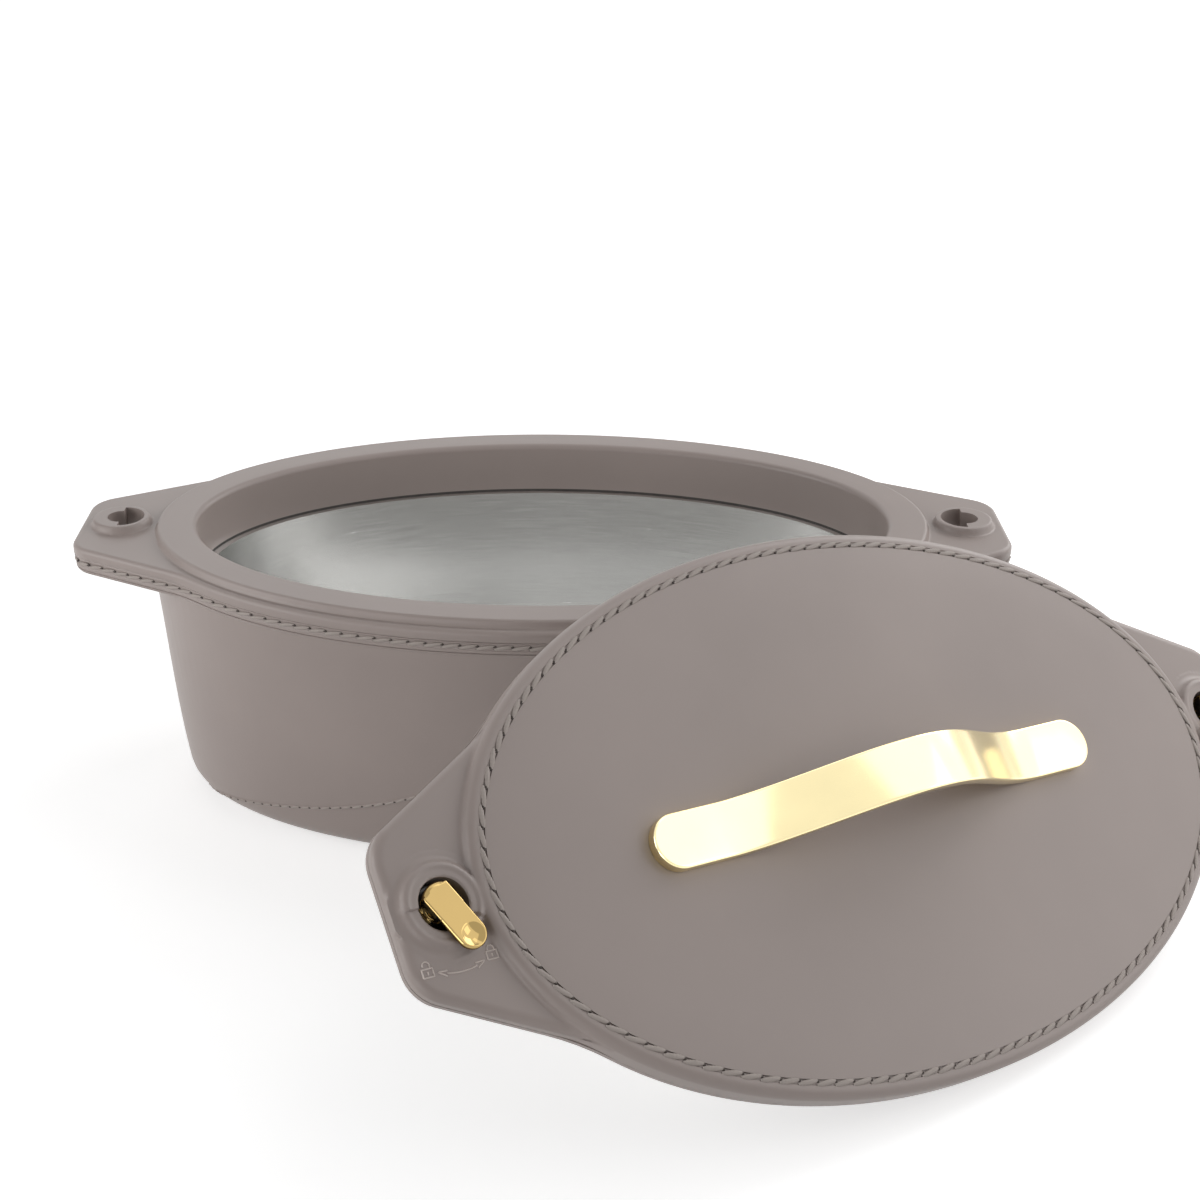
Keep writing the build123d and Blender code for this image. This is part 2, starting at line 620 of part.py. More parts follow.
def make_lever(side):
    """Lever with its barrel, round base, stem and square end."""
    seat = lock_plane(side)
    upright = Plane(origin=seat.origin, x_dir=seat.x_dir, z_dir=seat.y_dir * -1)
    with BuildPart() as lever:
        with BuildSketch(upright):
            with Locations((0, hub_z)):
                Circle(hub_r)
            Polygon(
                (0, hub_z),
                (arm_start, hub_z + hub_r - arm_sink),
                (arm_reach + arm_tip_r, arm_tip_top),
                (arm_reach + arm_tip_r, arm_low),
                (hub_r, arm_low),
                (hub_r - arm_inside, hub_z),
                align=None,
            )
        extrude(amount=hub_w / 2, both=True)
        with BuildSketch(seat.offset(hub_z - hub_r)):
            with Locations((arm_reach / 2 - hub_r, 0)):
                Rectangle(arm_reach + 2 * hub_r, hub_w)
            with Locations((arm_reach, 0)):
                Circle(arm_tip_r)
        extrude(amount=2 * hub_r, mode=Mode.INTERSECT)
        with BuildSketch(upright.offset(hub_w / 2)):
            with Locations((0, hub_z)):
                Circle(hub_r - hub_dish_rim)
        extrude(amount=-hub_dish, mode=Mode.SUBTRACT)
        with BuildSketch(upright.offset(-hub_w / 2)):
            with Locations((0, hub_z)):
                Circle(hub_r - hub_dish_rim)
        extrude(amount=hub_dish, mode=Mode.SUBTRACT)
        with Locations(seat.offset(arm_tip_top + dimple_r - dimple_depth)):
            with Locations((arm_reach, 0, 0)):
                Sphere(dimple_r, mode=Mode.SUBTRACT)
        with BuildSketch(seat.offset(base_z)):
            Circle(base_r)
        extrude(amount=base_t)
        with BuildSketch(seat.offset(hub_top)):
            Circle(stem_r)
        extrude(amount=base_z - hub_top)
        with BuildSketch(seat.offset(hub_top - square_h)):
            Rectangle(square, square)
        extrude(amount=square_h)
        with BuildSketch(seat.offset(hub_top - square_h)):
            Circle(cap_shank_r + screw_play)
        extrude(amount=square_h + cap_bite + cap_play, mode=Mode.SUBTRACT)
    return lever.part


def make_tongue(side):
    """Half-moon tongue on its hub, with a square socket and a screw seat."""
    seat = lock_plane(side)
    centre = seat.origin
    turned = math.radians(lever_travel)
    if side > 0:
        turned = math.pi - turned
    along = lid.from_local_coords(
        Vector(side * boss_x + math.cos(turned), math.sin(turned), 0)
    )
    half = Plane(origin=centre, x_dir=along - centre, z_dir=lid.z_dir)
    with BuildPart() as tongue:
        with BuildSketch(half.offset(tongue_top - tongue_t)):
            Circle(tongue_r)
            with Locations((-tongue_r, 0)):
                Rectangle(2 * tongue_r, 3 * tongue_r, mode=Mode.SUBTRACT)
            Circle(tongue_hub_r)
        extrude(amount=tongue_t)
        with BuildSketch(half.offset(tongue_top)):
            Circle(tongue_hub_r)
        extrude(amount=hub_top - tongue_top)
        with BuildSketch(seat.offset(hub_top - square_h)):
            Rectangle(square + 2 * square_play, square + 2 * square_play)
        extrude(amount=square_h, mode=Mode.SUBTRACT)
        with BuildSketch(half.offset(tongue_top - tongue_t)):
            Circle(cap_shank_r + cap_play)
        extrude(amount=hub_top - tongue_top + tongue_t, mode=Mode.SUBTRACT)
        with BuildSketch(half.offset(tongue_top - tongue_t)):
            Circle(cap_head_r + cap_play)
        extrude(amount=cap_head_h + cap_play, mode=Mode.SUBTRACT)
    return tongue.part


def make_lock_screw(side):
    """Screw that holds the tongue on the lever's square end."""
    seat = lock_plane(side)
    seat_z = tongue_top - tongue_t + cap_head_h + cap_play
    with BuildPart() as screw:
        with BuildSketch(seat.offset(seat_z - cap_head_h)):
            Circle(cap_head_r)
        extrude(amount=cap_head_h)
        with BuildSketch(seat.offset(seat_z)):
            Circle(cap_shank_r)
        extrude(amount=hub_top + cap_bite - seat_z)
        with BuildSketch(seat.offset(seat_z - cap_head_h)):
            Rectangle(cross_l, cross_w)
            Rectangle(cross_w, cross_l)
        extrude(amount=cross_t, mode=Mode.SUBTRACT)
    return screw.part


def make_wave_ring(side):
    """Thin ring between the lever's base and the floor of its well."""
    seat = lock_plane(side)
    with BuildPart() as ring:
        with BuildSketch(seat.offset(lid_part_z)):
            Circle(base_r - wave_in)
            Circle(stem_r + wave_in, mode=Mode.SUBTRACT)
        extrude(amount=wave_t)
    return ring.part


left_lever = make_lever(-1)
left_lever.label = "left_lever"
right_lever = make_lever(1)
right_lever.label = "right_lever"
left_tongue = make_tongue(-1)
left_tongue.label = "left_tongue"
right_tongue = make_tongue(1)
right_tongue.label = "right_tongue"
left_lock_screw = make_lock_screw(-1)
left_lock_screw.label = "left_lock_screw"
right_lock_screw = make_lock_screw(1)
right_lock_screw.label = "right_lock_screw"
left_wave_ring = make_wave_ring(-1)
left_wave_ring.label = "left_wave_ring"
right_wave_ring = make_wave_ring(1)
right_wave_ring.label = "right_wave_ring"

# ---------------------------------------------------------------- files
export_step(outer_shell.part, "parts/outer_shell.step")
export_step(rim_collar.part, "parts/rim_collar.step")
export_step(inner_bowl.part, "parts/inner_bowl.step")
export_step(bowl_gasket.part, "parts/bowl_gasket.step")
export_step(body_insulation.part, "parts/body_insulation.step")
export_step(fill_plug.part, "parts/fill_plug.step")
export_step(base_ring.part, "parts/base_ring.step")
export_step(ear_screws.part, "parts/ear_screws.step")
export_step(lid_cover.part, "parts/lid_cover.step")
export_step(lid_underside.part, "parts/lid_underside.step")
export_step(lid_liner.part, "parts/lid_liner.step")
export_step(lid_insulation.part, "parts/lid_insulation.step")
export_step(lid_seal.part, "parts/lid_seal.step")
export_step(lid_handle.part, "parts/lid_handle.step")
export_step(handle_screws.part, "parts/handle_screws.step")
export_step(handle_washers.part, "parts/handle_washers.step")
export_step(left_lever, "parts/left_lever.step")
export_step(left_tongue, "parts/left_tongue.step")
export_step(left_lock_screw, "parts/left_lock_screw.step")
export_step(left_wave_ring, "parts/left_wave_ring.step")
export_step(right_lever, "parts/right_lever.step")
export_step(right_tongue, "parts/right_tongue.step")
export_step(right_lock_screw, "parts/right_lock_screw.step")
export_step(right_wave_ring, "parts/right_wave_ring.step")
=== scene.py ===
import json
import math

import bmesh
import bpy
import numpy as np
from mathutils import Matrix, Vector
from mathutils.bvhtree import BVHTree


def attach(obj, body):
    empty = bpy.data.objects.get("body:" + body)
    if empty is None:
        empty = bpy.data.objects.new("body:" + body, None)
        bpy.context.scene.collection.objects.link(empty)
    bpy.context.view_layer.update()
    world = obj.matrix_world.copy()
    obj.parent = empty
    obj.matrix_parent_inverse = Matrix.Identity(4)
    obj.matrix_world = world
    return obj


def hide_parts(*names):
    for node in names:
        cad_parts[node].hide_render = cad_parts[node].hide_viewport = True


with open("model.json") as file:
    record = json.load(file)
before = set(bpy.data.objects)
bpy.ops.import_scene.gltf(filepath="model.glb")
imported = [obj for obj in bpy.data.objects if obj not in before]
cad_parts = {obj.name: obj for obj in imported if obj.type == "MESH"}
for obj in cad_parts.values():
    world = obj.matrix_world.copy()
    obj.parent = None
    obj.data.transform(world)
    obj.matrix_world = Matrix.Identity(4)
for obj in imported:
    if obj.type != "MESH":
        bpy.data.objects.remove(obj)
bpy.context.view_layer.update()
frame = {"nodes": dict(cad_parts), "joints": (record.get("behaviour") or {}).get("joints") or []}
nodes = frame["nodes"]
MM = 0.001

# ------------------------------------------------------------------ sizes, mm
MOUTH_A, MOUTH_B = 130.0, 75.0
MOUTH_ROUND = 2.2
SKIRT_WALL = 2.2            # wall round the mouth
RIM_A, RIM_B = 148.5, 92.0
RIM_FLAT = 5.4              # the rim's flat ring ends this far inside its edge
BAND_IN = 0.4               # the stitched band under the rim lies this far behind its edge
TIP_X, TIP_Y = 174.4, 21.9
SLOPE_X, SLOPE_Y = 110.0, 56.6
CORNER_R = 12.5
ROOT_BLEND = 2.3
RING_Z, EAR_Z, PART_Z, EAR_LOW_Z, SKIRT_Z = 106.0, 103.2, 99.0, 93.2, 86.6

BOSS_X = 159.2              # lock axis
POT_BOSS_R = 10.7
KEY_BIG_R, KEY_SMALL_R = 8.6, 5.2
RECESS_R = 10.6
EAR_SCREW_X, EAR_SCREW_Y, SCREW_HOLE_R = 165.0, 17.0, 3.0

LID_A, LID_B = 148.8, 92.3
LID_OVER = 0.3              # the lid's ears reach this far over the pot's
LID_ROUND = 3.2
LID_EAR_Z, LID_PART_Z = -3.4, -8.0
LID_EAR_ROUND = 3.3
LID_INSIDE_Z = -3.3
LID_BOSS_R, LID_BOSS_Z, LID_BOSS_SLOPE = 10.8, -0.5, 4.7
LOW_SIDE = (-183, -29)      # degrees round the boss where its top is lower, below the lever's swing
LOW_STEP = 2.5
WELL_R = 7.7
STITCH_IN = 4.85            # lid's stitch line inside its edge

GRIP_HALF, GRIP_W, GRIP_T = 90.0, 8.8, 4.3
GRIP_ROUND_TOP, GRIP_ROUND_LOW = 0.9, 0.5
RISE_HALF, RISE_Z = 66.0, 25.5

LEVER_CLOSED = math.radians(-66.0)
HUB_X, HUB_Z = -0.7, -1.9   # centre of the lever's barrel
BARREL_R = 4.25
# radius of the black pieces of painted shade in the barrel's ends
END_SHADE_R = 3.9
LEVER_SHADE_Z = -4.6         # the lever is painted black under this height: painted shade in the lid's well

STITCH_LEAN = 12.0          # degrees
BAND_STITCH_Z = 97.0
SEAM_HALF = 136.5
WALL_A, WALL_B = 139.5, 78.0  # oval that the seam's rays start from
SEAM_SPAN = 138.0

# ------------------------------------------------------------------ frames
joints = {j["name"]: j for j in frame["joints"]}
lid_n = np.array(joints["lid_lift"]["axis"], float)
lid_n /= np.linalg.norm(lid_n)
left_at = np.array(joints["left_lock_turn"]["pos_m"], float)
right_at = np.array(joints["right_lock_turn"]["pos_m"], float)
lid_x = right_at - left_at
lid_x -= lid_n * (lid_x @ lid_n)
lid_x /= np.linalg.norm(lid_x)
lid_y = np.cross(lid_n, lid_x)
lid_o = (left_at + right_at) / 2 - LID_PART_Z * MM * lid_n
LID = np.array([lid_x, lid_y, lid_n])


def lid_to_world(p):
    """Lid millimetres to metres in the shared frame."""
    return np.asarray(p, float) @ LID * MM + lid_o


def pot_to_world(p):
    """Pot millimetres to metres in the shared frame."""
    return np.asarray(p, float) * MM


# ------------------------------------------------------------------ shapes in plan
def smax(a, b, k):
    """The larger of two fields, blended over a width k."""
    h = np.maximum(k - np.abs(a - b), 0.0) / k
    return np.maximum(a, b) + h * h * k / 4


def smin(a, b, k):
    return -smax(-a, -b, k)


def step01(v):
    v = np.clip(v, 0.0, 1.0)
    return v * v * (3 - 2 * v)


def oval_d(x, y, a, b):
    """Signed distance to an oval, good near its edge."""
    k0 = np.hypot(x / a, y / b)
    k1 = np.hypot(x / (a * a), y / (b * b)) + 1e-9
    return k0 * (k0 - 1) / k1


def ear_d(x, y):
    """Signed distance to the two ears' plan, tips and slopes with their round corners."""
    x, y = np.abs(x), np.abs(y)
    run, fall = TIP_X - SLOPE_X, SLOPE_Y - TIP_Y
    size = math.hypot(run, fall)
    nx, ny = fall / size, run / size
    d1 = x - TIP_X
    d2 = (x - TIP_X) * nx + (y - TIP_Y) * ny
    cx = TIP_X - CORNER_R
    cy = TIP_Y + (-CORNER_R + CORNER_R * nx) / ny
    beta = (y - cy) / ny
    alpha = (x - cx) - beta * nx
    corner = np.hypot(x - cx, y - cy) - CORNER_R
    flat = np.where((alpha > 0) & (beta > 0), corner, np.maximum(d1, d2))
    return np.maximum(flat, SLOPE_X - x)


def plan_d(x, y, a, b, grow):
    """Signed distance to the oval with its two ears."""
    return smin(oval_d(x, y, a, b), ear_d(x, y) - grow, ROOT_BLEND)


def quarter(t, r):
    """Drop of a rounded edge of radius r at distance t inside it."""
    t = np.clip(t, 0.0, r)
    return r - np.sqrt(np.maximum(r * r - (r - t) ** 2, 0.0))


ear_half, ear_steps, side_steps = math.radians(30), 340, 110
TH = np.concatenate([
    np.linspace(-ear_half, ear_half, ear_steps, endpoint=False),
    np.linspace(ear_half, math.pi - ear_half, side_steps, endpoint=False),
    np.linspace(math.pi - ear_half, math.pi + ear_half, ear_steps, endpoint=False),
    np.linspace(math.pi + ear_half, 2 * math.pi - ear_half, side_steps, endpoint=False),
])
CO, SI = np.cos(TH), np.sin(TH)


def oval_r(a, b):
    """Radius of an oval along the rays."""
    return 1 / np.hypot(CO / a, SI / b)


def plan_r(a, b, grow):
    """Radius of the oval with its ears along the rays, by halving."""
    low, high = np.full(len(TH), 60.0), np.full(len(TH), 200.0)
    for _ in range(34):
        mid = (low + high) / 2
        inside = plan_d(mid * CO, mid * SI, a, b, grow) < 0
        low, high = np.where(inside, mid, low), np.where(inside, high, mid)
    return (low + high) / 2


def ring(r, z):
    """Points at radius r and height z along the rays."""
    r = np.broadcast_to(r, TH.shape)
    z = np.broadcast_to(z, TH.shape)
    return np.stack([r * CO, r * SI, z], 1)


def rings_under(top, inner, outer, shares, backs):
    """Rings on the height field top, from inner to outer and closer together at the edge."""
    radii = [inner + share * (outer - inner) for share in shares]
    radii += [outer - back for back in backs]
    return [ring(r, top(r * CO, r * SI)) for r in radii]


# ------------------------------------------------------------------ mesh helpers
SHARP = 38.0


def new_object(name, co, faces, look, body, sharp=SHARP):
    """A smooth-shaded piece that rides on a body; edges over sharp degrees stay sharp."""
    me = bpy.data.meshes.new(name)
    me.from_pydata([tuple(c) for c in co], [], faces)
    me.validate()
    me.update()
    me.shade_smooth()
    if sharp:
        me.set_sharp_from_angle(angle=math.radians(sharp))
    ob = bpy.data.objects.new(name, me)
    bpy.context.scene.collection.objects.link(ob)
    me.materials.append(look)
    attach(ob, body)
    return ob


def join_parts(parts):
    """One mesh from several (points, faces)."""
    all_co, all_faces, start = [], [], 0
    for co, faces in parts:
        all_co.append(co)
        all_faces += [[v + start for v in face] for face in faces]
        start += len(co)
    return np.concatenate(all_co), all_faces


def lathe_faces(count, size, loop=False):
    """Quads between rings of one size; ends closed by the caller."""
    faces = []
    j = np.arange(size)
    k = (j + 1) % size
    last = count if loop else count - 1
    for i in range(last):
        p, q = i * size, ((i + 1) % count) * size
        faces.extend(np.stack([p + j, p + k, q + k, q + j], 1).tolist())
    return faces


def rings_to_mesh(rings, loop=False):
    """A closed mesh through rings: joined to itself, or with a fan over each end."""
    size = len(rings[0])
    co = np.concatenate(rings)
    faces = lathe_faces(len(rings), size, loop)
    if not loop:
        first = co[:size].mean(0)
        last = co[-size:].mean(0)
        n = len(co)
        co = np.concatenate([co, [first], [last]])
        for j in range(size):
            faces.append([n, (j + 1) % size, j])
            faces.append([n + 1, n - size + j, n - size + (j + 1) % size])
    return co, faces


def cut(ob, cutters):
    """Booleans with mesh cutters, applied to the mesh."""
    for number, cutter in enumerate(cutters):
        mod = ob.modifiers.new(f"cut{number}", "BOOLEAN")
        mod.operation = "DIFFERENCE"
        mod.solver = "EXACT"
        mod.object = cutter
    bpy.context.view_layer.update()
    deps = bpy.context.evaluated_depsgraph_get()
    me = bpy.data.meshes.new_from_object(ob.evaluated_get(deps))
    old = ob.data
    ob.modifiers.clear()
    ob.data = me
    me.name = ob.name
    me.shade_smooth()
    me.set_sharp_from_angle(angle=math.radians(SHARP))
    bpy.data.meshes.remove(old)
    for cutter in cutters:
        data = cutter.data
        bpy.data.objects.remove(cutter)
        bpy.data.meshes.remove(data)
    return ob


def prism(points, low, high, place):
    """A closed prism over a plan outline, used as a cutter."""
    points = np.asarray(points, float)
    n = len(points)
    co = np.concatenate([
        np.column_stack([points, np.full(n, low)]),
        np.column_stack([points, np.full(n, high)]),
    ])
    faces = [list(range(n))[::-1], list(range(n, 2 * n))]
    faces += [[i, (i + 1) % n, n + (i + 1) % n, n + i] for i in range(n)]
    me = bpy.data.meshes.new("cutter")
    me.from_pydata([tuple(c) for c in place(co)], [], faces)
    me.update()
    ob = bpy.data.objects.new("cutter", me)
    bpy.context.scene.collection.objects.link(ob)
    return ob


def circle(cx, cy, r, n=96, start=0.0, turn=2 * math.pi):
    """n points round a centre; a part turn leaves out its last point."""
    a = start + np.arange(n) * turn / n
    return np.column_stack([cx + r * np.cos(a), cy + r * np.sin(a)])


# ------------------------------------------------------------------ materials
def material(name):
    """A new node material, its tree and its shader."""
    m = bpy.data.materials.new(name)
    m.use_nodes = True
    tree = m.node_tree
    bsdf = tree.nodes["Principled BSDF"]
    return m, tree, bsdf


def node(tree, kind, **values):
    """A new node; each value goes to the input of that name, or else to the setting."""
    n = tree.nodes.new(kind)
    for key, value in values.items():
        if key in n.inputs:
            n.inputs[key].default_value = value
        else:
            setattr(n, key, value)
    return n


def srgb(r, g, b):
    """A linear colour from levels of 255."""
    out = []
    for c in (r, g, b):
        c /= 255
        out.append(c / 12.92 if c <= 0.04045 else ((c + 0.055) / 1.055) ** 2.4)
    return (*out, 1.0)


def link(tree, a, b):
    tree.links.new(a, b)


def shade(colour, factor):
    return [min(c * factor, 1) for c in colour[:3]] + [1]


def ramp(tree, fac, places, colours):
    n = node(tree, "ShaderNodeValToRGB")
    for element, place, colour in zip(n.color_ramp.elements, places, colours):
        element.position = place
        element.color = colour
    link(tree, fac, n.inputs["Fac"])
    return n.outputs["Color"]


def map_range(tree, value, low, high, start=0.0, end=1.0):
    ends = {"From Min": start, "From Max": end, "To Min": low, "To Max": high}
    n = node(tree, "ShaderNodeMapRange", **ends)
    link(tree, value, n.inputs["Value"])
    return n.outputs["Result"]


def noise(tree, vector, scale, detail):
    n = node(tree, "ShaderNodeTexNoise", Scale=scale, Detail=detail)
    link(tree, vector, n.inputs["Vector"])
    return n.outputs["Fac"]


def bump(tree, height, strength, distance, bsdf):
    n = node(tree, "ShaderNodeBump", Strength=strength, Distance=distance)
    link(tree, height, n.inputs["Height"])
    link(tree, n.outputs["Normal"], bsdf.inputs["Normal"])


def plastic(name, colour, rough=0.42, grain=0.05, grain_scale=2600.0, mottle=0.05):
    """Moulded satin plastic with a very fine grain and faint uneven colour."""
    m, tree, bsdf = material(name)
    place = node(tree, "ShaderNodeTexCoord").outputs["Object"]
    cloud = noise(tree, place, 14.0, 3.0)
    tones = (shade(colour, 1 - mottle), shade(colour, 1 + mottle))
    link(tree, ramp(tree, cloud, (0.3, 0.7), tones), bsdf.inputs["Base Color"])
    fine = noise(tree, place, grain_scale, 2.0)
    link(tree, map_range(tree, fine, rough - 0.04, rough + 0.04), bsdf.inputs["Roughness"])
    bump(tree, fine, grain, 0.0002, bsdf)
    return m


def metal(name, colour, rough=0.1, streak=(1, 1, 1), bump_strength=0.02):
    """Polished metal; streak stretches the noise for a brushed look."""
    m, tree, bsdf = material(name)
    bsdf.inputs["Metallic"].default_value = 1.0
    mapping = node(tree, "ShaderNodeMapping", Scale=streak)
    link(tree, node(tree, "ShaderNodeTexCoord").outputs["Object"], mapping.inputs["Vector"])
    fine = noise(tree, mapping.outputs["Vector"], 60.0, 4.0)
    link(tree, map_range(tree, fine, rough * 0.8, rough * 1.25), bsdf.inputs["Roughness"])
    tones = (shade(colour, 0.97), shade(colour, 1.03))
    link(tree, ramp(tree, fine, (0.25, 0.75), tones), bsdf.inputs["Base Color"])
    bump(tree, fine, bump_strength, 0.0001, bsdf)
    return m


TAUPE = srgb(150, 138, 133)
m_lid = plastic("lid_plastic", TAUPE)
m_pot = plastic("pot_plastic", TAUPE)
m_thread = plastic("thread", srgb(158, 148, 142), rough=0.6, grain=0.3, grain_scale=1500.0)
m_marks = plastic("marks", srgb(200, 188, 182), rough=0.4)
# painted shade: this dark colour stands for the shade inside the stitch holes
m_hole_shade = plastic("painted_hole_shade", srgb(70, 62, 58), rough=0.8)
m_gold = metal("gold", (0.97, 0.84, 0.49, 1), rough=0.17)
# painted reflection: the handle's gold, darkened for the levers to stand in for the dim surroundings they
# reflect
m_gold_shaded = metal("lever_gold_shaded", (0.41, 0.29, 0.115, 1), rough=0.09)
m_steel = metal("bowl_steel", (0.62, 0.62, 0.61, 1), rough=0.24, streak=(1, 1, 30), bump_strength=0.05)
m_bright = metal("screw_steel", (0.66, 0.66, 0.65, 1), rough=0.2)
m_rubber = plastic("rubber", srgb(62, 58, 56), rough=0.7, grain=0.2)
m_dark = plastic("dark_plastic", srgb(58, 54, 52), rough=0.45)
# painted shade: black for the shade in the lid's wells under the levers and in the lever barrels' end
# recesses
m_black_shade = plastic("black_painted_shade", srgb(30, 27, 25), rough=0.22, grain=0.02)
m_foam = plastic("foam", srgb(226, 205, 160), rough=0.9, grain=0.8, grain_scale=700.0, mottle=0.1)

looks = {
    "outer_shell": m_pot, "rim_collar": m_pot, "inner_bowl": m_steel, "bowl_gasket": m_rubber,
    "body_insulation": m_foam, "fill_plug": m_pot, "base_ring": m_rubber, "ear_screws": m_bright,
    "lid_cover": m_lid, "lid_underside": m_lid, "lid_liner": m_steel, "lid_insulation": m_foam,
    "lid_seal": m_rubber, "lid_handle": m_gold, "handle_screws": m_bright,
    "handle_washers": m_bright, "left_lever": m_gold_shaded, "right_lever": m_gold_shaded,
    "left_tongue": m_dark, "right_tongue": m_dark, "left_lock_screw": m_bright,
    "right_lock_screw": m_bright, "left_wave_ring": m_bright, "right_wave_ring": m_bright,
}
for ob in nodes.values():
    ob.data.materials.clear()
for name, look in looks.items():
    nodes[name].data.materials.append(look)


# ------------------------------------------------------------------ lid cover
def lid_top(x, y):
    """Height of the lid's top outside its stitch groove: rounded edge, ears and lock bosses."""
    t = -oval_d(x, y, LID_A, LID_B)
    body = np.where(t > 0, -quarter(t, LID_ROUND), -LID_ROUND + 2.2 * t)
    q = -plan_d(x, y, LID_A, LID_B, LID_OVER)
    ear = LID_EAR_Z - 0.82 * quarter(q, LID_EAR_ROUND)
    z = smax(body, ear, 2.6)
    z = np.where(q < 1.0, np.minimum(z, np.maximum(body, ear) + 0.6 * np.clip(q, 0, 1)), z)
    side = np.sign(x)
    bx = (x - side * BOSS_X) * side
    rho = np.hypot(bx, y)
    turn = np.degrees(np.arctan2(y, -bx))
    turn = np.where(turn > 90, turn - 360, turn)
    low = step01((turn - LOW_SIDE[0]) / LOW_STEP) * step01((LOW_SIDE[1] - turn) / LOW_STEP)
    top = LID_BOSS_Z - 0.8 * low
    land = top - 0.42 * step01((LID_BOSS_R - rho) / 0.8) - quarter(rho - WELL_R, 0.5)
    out = (rho - LID_BOSS_R) / LID_BOSS_SLOPE
    fall = np.where(out < 0.35, out * out * 2.2, step01(0.12 + out * 0.95))
    slope = top - (top - LID_EAR_Z + 0.15) * fall
    boss = np.where(rho < LID_BOSS_R, land, slope)
    boss = np.where(rho > LID_BOSS_R + 5.2, -30.0, boss)
    return np.where(rho < LID_BOSS_R, np.maximum(z, boss), smax(z, boss, 0.9))


# flat middle, then the stitch groove: distance inside the lid's oval, and height
crown = ((140, 0), (60, 0), (20, 0), (6.1, 0), (5.86, -0.02), (5.8, -0.65), (5.55, -0.65),
         (5.5, -0.3), (4.8, -0.3), (4.15, -0.3), (4.08, -0.1), (3.98, 0.0))
lid_rings = []
for t, z in crown:
    half_width = LID_B - t * (LID_B - 4) / (LID_A - 4) if t > 20 else LID_B - t
    lid_rings.append(ring(oval_r(LID_A - t, half_width), z))
inner = oval_r(LID_A - 3.9, LID_B - 3.9)
outer = plan_r(LID_A, LID_B, LID_OVER)
u = np.linspace(0, 1, 62)
u = u + 0.1 * np.sin(2 * math.pi * u) / (2 * math.pi)
lid_rings += rings_under(lid_top, inner, outer, u[:-1], (0.35, 0.12, 0.03, 0.0))
edge_z = lid_rings[-1][:, 2]
low_z = LID_PART_Z + 0.25
for s in (0.5, 0.9):
    lid_rings.append(ring(outer, edge_z * (1 - s) + low_z * s))
lid_rings.append(ring(outer, low_z))
lid_rings.append(ring(outer - 0.2, LID_PART_Z))
cavity = oval_r(LID_A - 2.8, LID_B - 2.8)
for z in (LID_PART_Z, -5.0, LID_INSIDE_Z):
    lid_rings.append(ring(cavity, z))
lid_rings.append(ring(cavity * 0.5, LID_INSIDE_Z))
co, faces = rings_to_mesh(lid_rings)
lid_cover = new_object("lid_cover_moulding", lid_to_world(co), faces, m_lid, "lid")
cut(lid_cover, [prism(circle(s * BOSS_X, 0, WELL_R, 128), -9.5, 3.0, lid_to_world) for s in (-1, 1)])
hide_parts("lid_cover")


# ------------------------------------------------------------------ rim collar
def collar_top(x, y):
    """Height of the rim's top outside its flat ring: ridge, ears and lock bosses."""
    t = -oval_d(x, y, RIM_A, RIM_B)
    body = np.where(t > 3.5, RING_Z - quarter(t - 3.5, 1.3), RING_Z - 1.3 + (t - 3.5) * 3.0)
    q = -plan_d(x, y, RIM_A, RIM_B, 0.0)
    ear = EAR_Z - quarter(q, 1.8)
    z = np.where(t > 4.9, RING_Z, smax(body, ear, 1.3))
    rho = np.hypot(x - np.sign(x) * BOSS_X, y)
    inside = RING_Z - quarter(POT_BOSS_R - rho, 1.0)
    boss = np.where(rho < POT_BOSS_R, inside, RING_Z - 1.0 - (rho - POT_BOSS_R) * 2.6)
    return np.where(rho < 9.7, np.maximum(z, boss), np.where(rho > 14, z, smax(z, boss, 1.1)))


mouth = oval_r(MOUTH_A, MOUTH_B)
collar_rings = [ring(mouth, SKIRT_Z), ring(mouth, SKIRT_Z + 0.3), ring(mouth, 95.0)]
for a in np.linspace(0, math.pi / 2, 8):
    grow = MOUTH_ROUND * (1 - math.cos(a))
    collar_rings.append(ring(oval_r(MOUTH_A + grow, MOUTH_B + grow),
                             RING_Z - MOUTH_ROUND + MOUTH_ROUND * math.sin(a)))
inner = oval_r(RIM_A - RIM_FLAT, RIM_B - RIM_FLAT)
outer = plan_r(RIM_A, RIM_B, 0.0)
mid = oval_r((MOUTH_A + RIM_A - RIM_FLAT) / 2, (MOUTH_B + RIM_B - RIM_FLAT) / 2)
collar_rings.append(ring(mid, RING_Z))
collar_rings += rings_under(collar_top, inner, outer, np.linspace(0, 1, 66)[:-1], (0.25, 0.1, 0.03, 0.0))
edge_z = collar_rings[-1][:, 2]
collar_rings.append(ring(outer, (edge_z + PART_Z + 0.35) / 2))
collar_rings.append(ring(outer, PART_Z + 0.35))
collar_rings.append(ring(outer - 0.3, PART_Z + 0.05))
# hollow underside and the outside of the mouth wall
for a, b, z in ((RIM_A - 5.5, RIM_B - 5.5, 99.05), (RIM_A - 5.5, RIM_B - 5.5, 102.8),
                (MOUTH_A + 4, MOUTH_B + 4, 102.8), (MOUTH_A + 4, MOUTH_B + 4, 99.0),
                (MOUTH_A + SKIRT_WALL, MOUTH_B + SKIRT_WALL, 99.0),
                (MOUTH_A + SKIRT_WALL, MOUTH_B + SKIRT_WALL, SKIRT_Z)):
    collar_rings.append(ring(oval_r(a, b), z))
co, faces = rings_to_mesh(collar_rings, loop=True)
collar = new_object("rim_collar_moulding", pot_to_world(co), faces, m_pot, "pot")


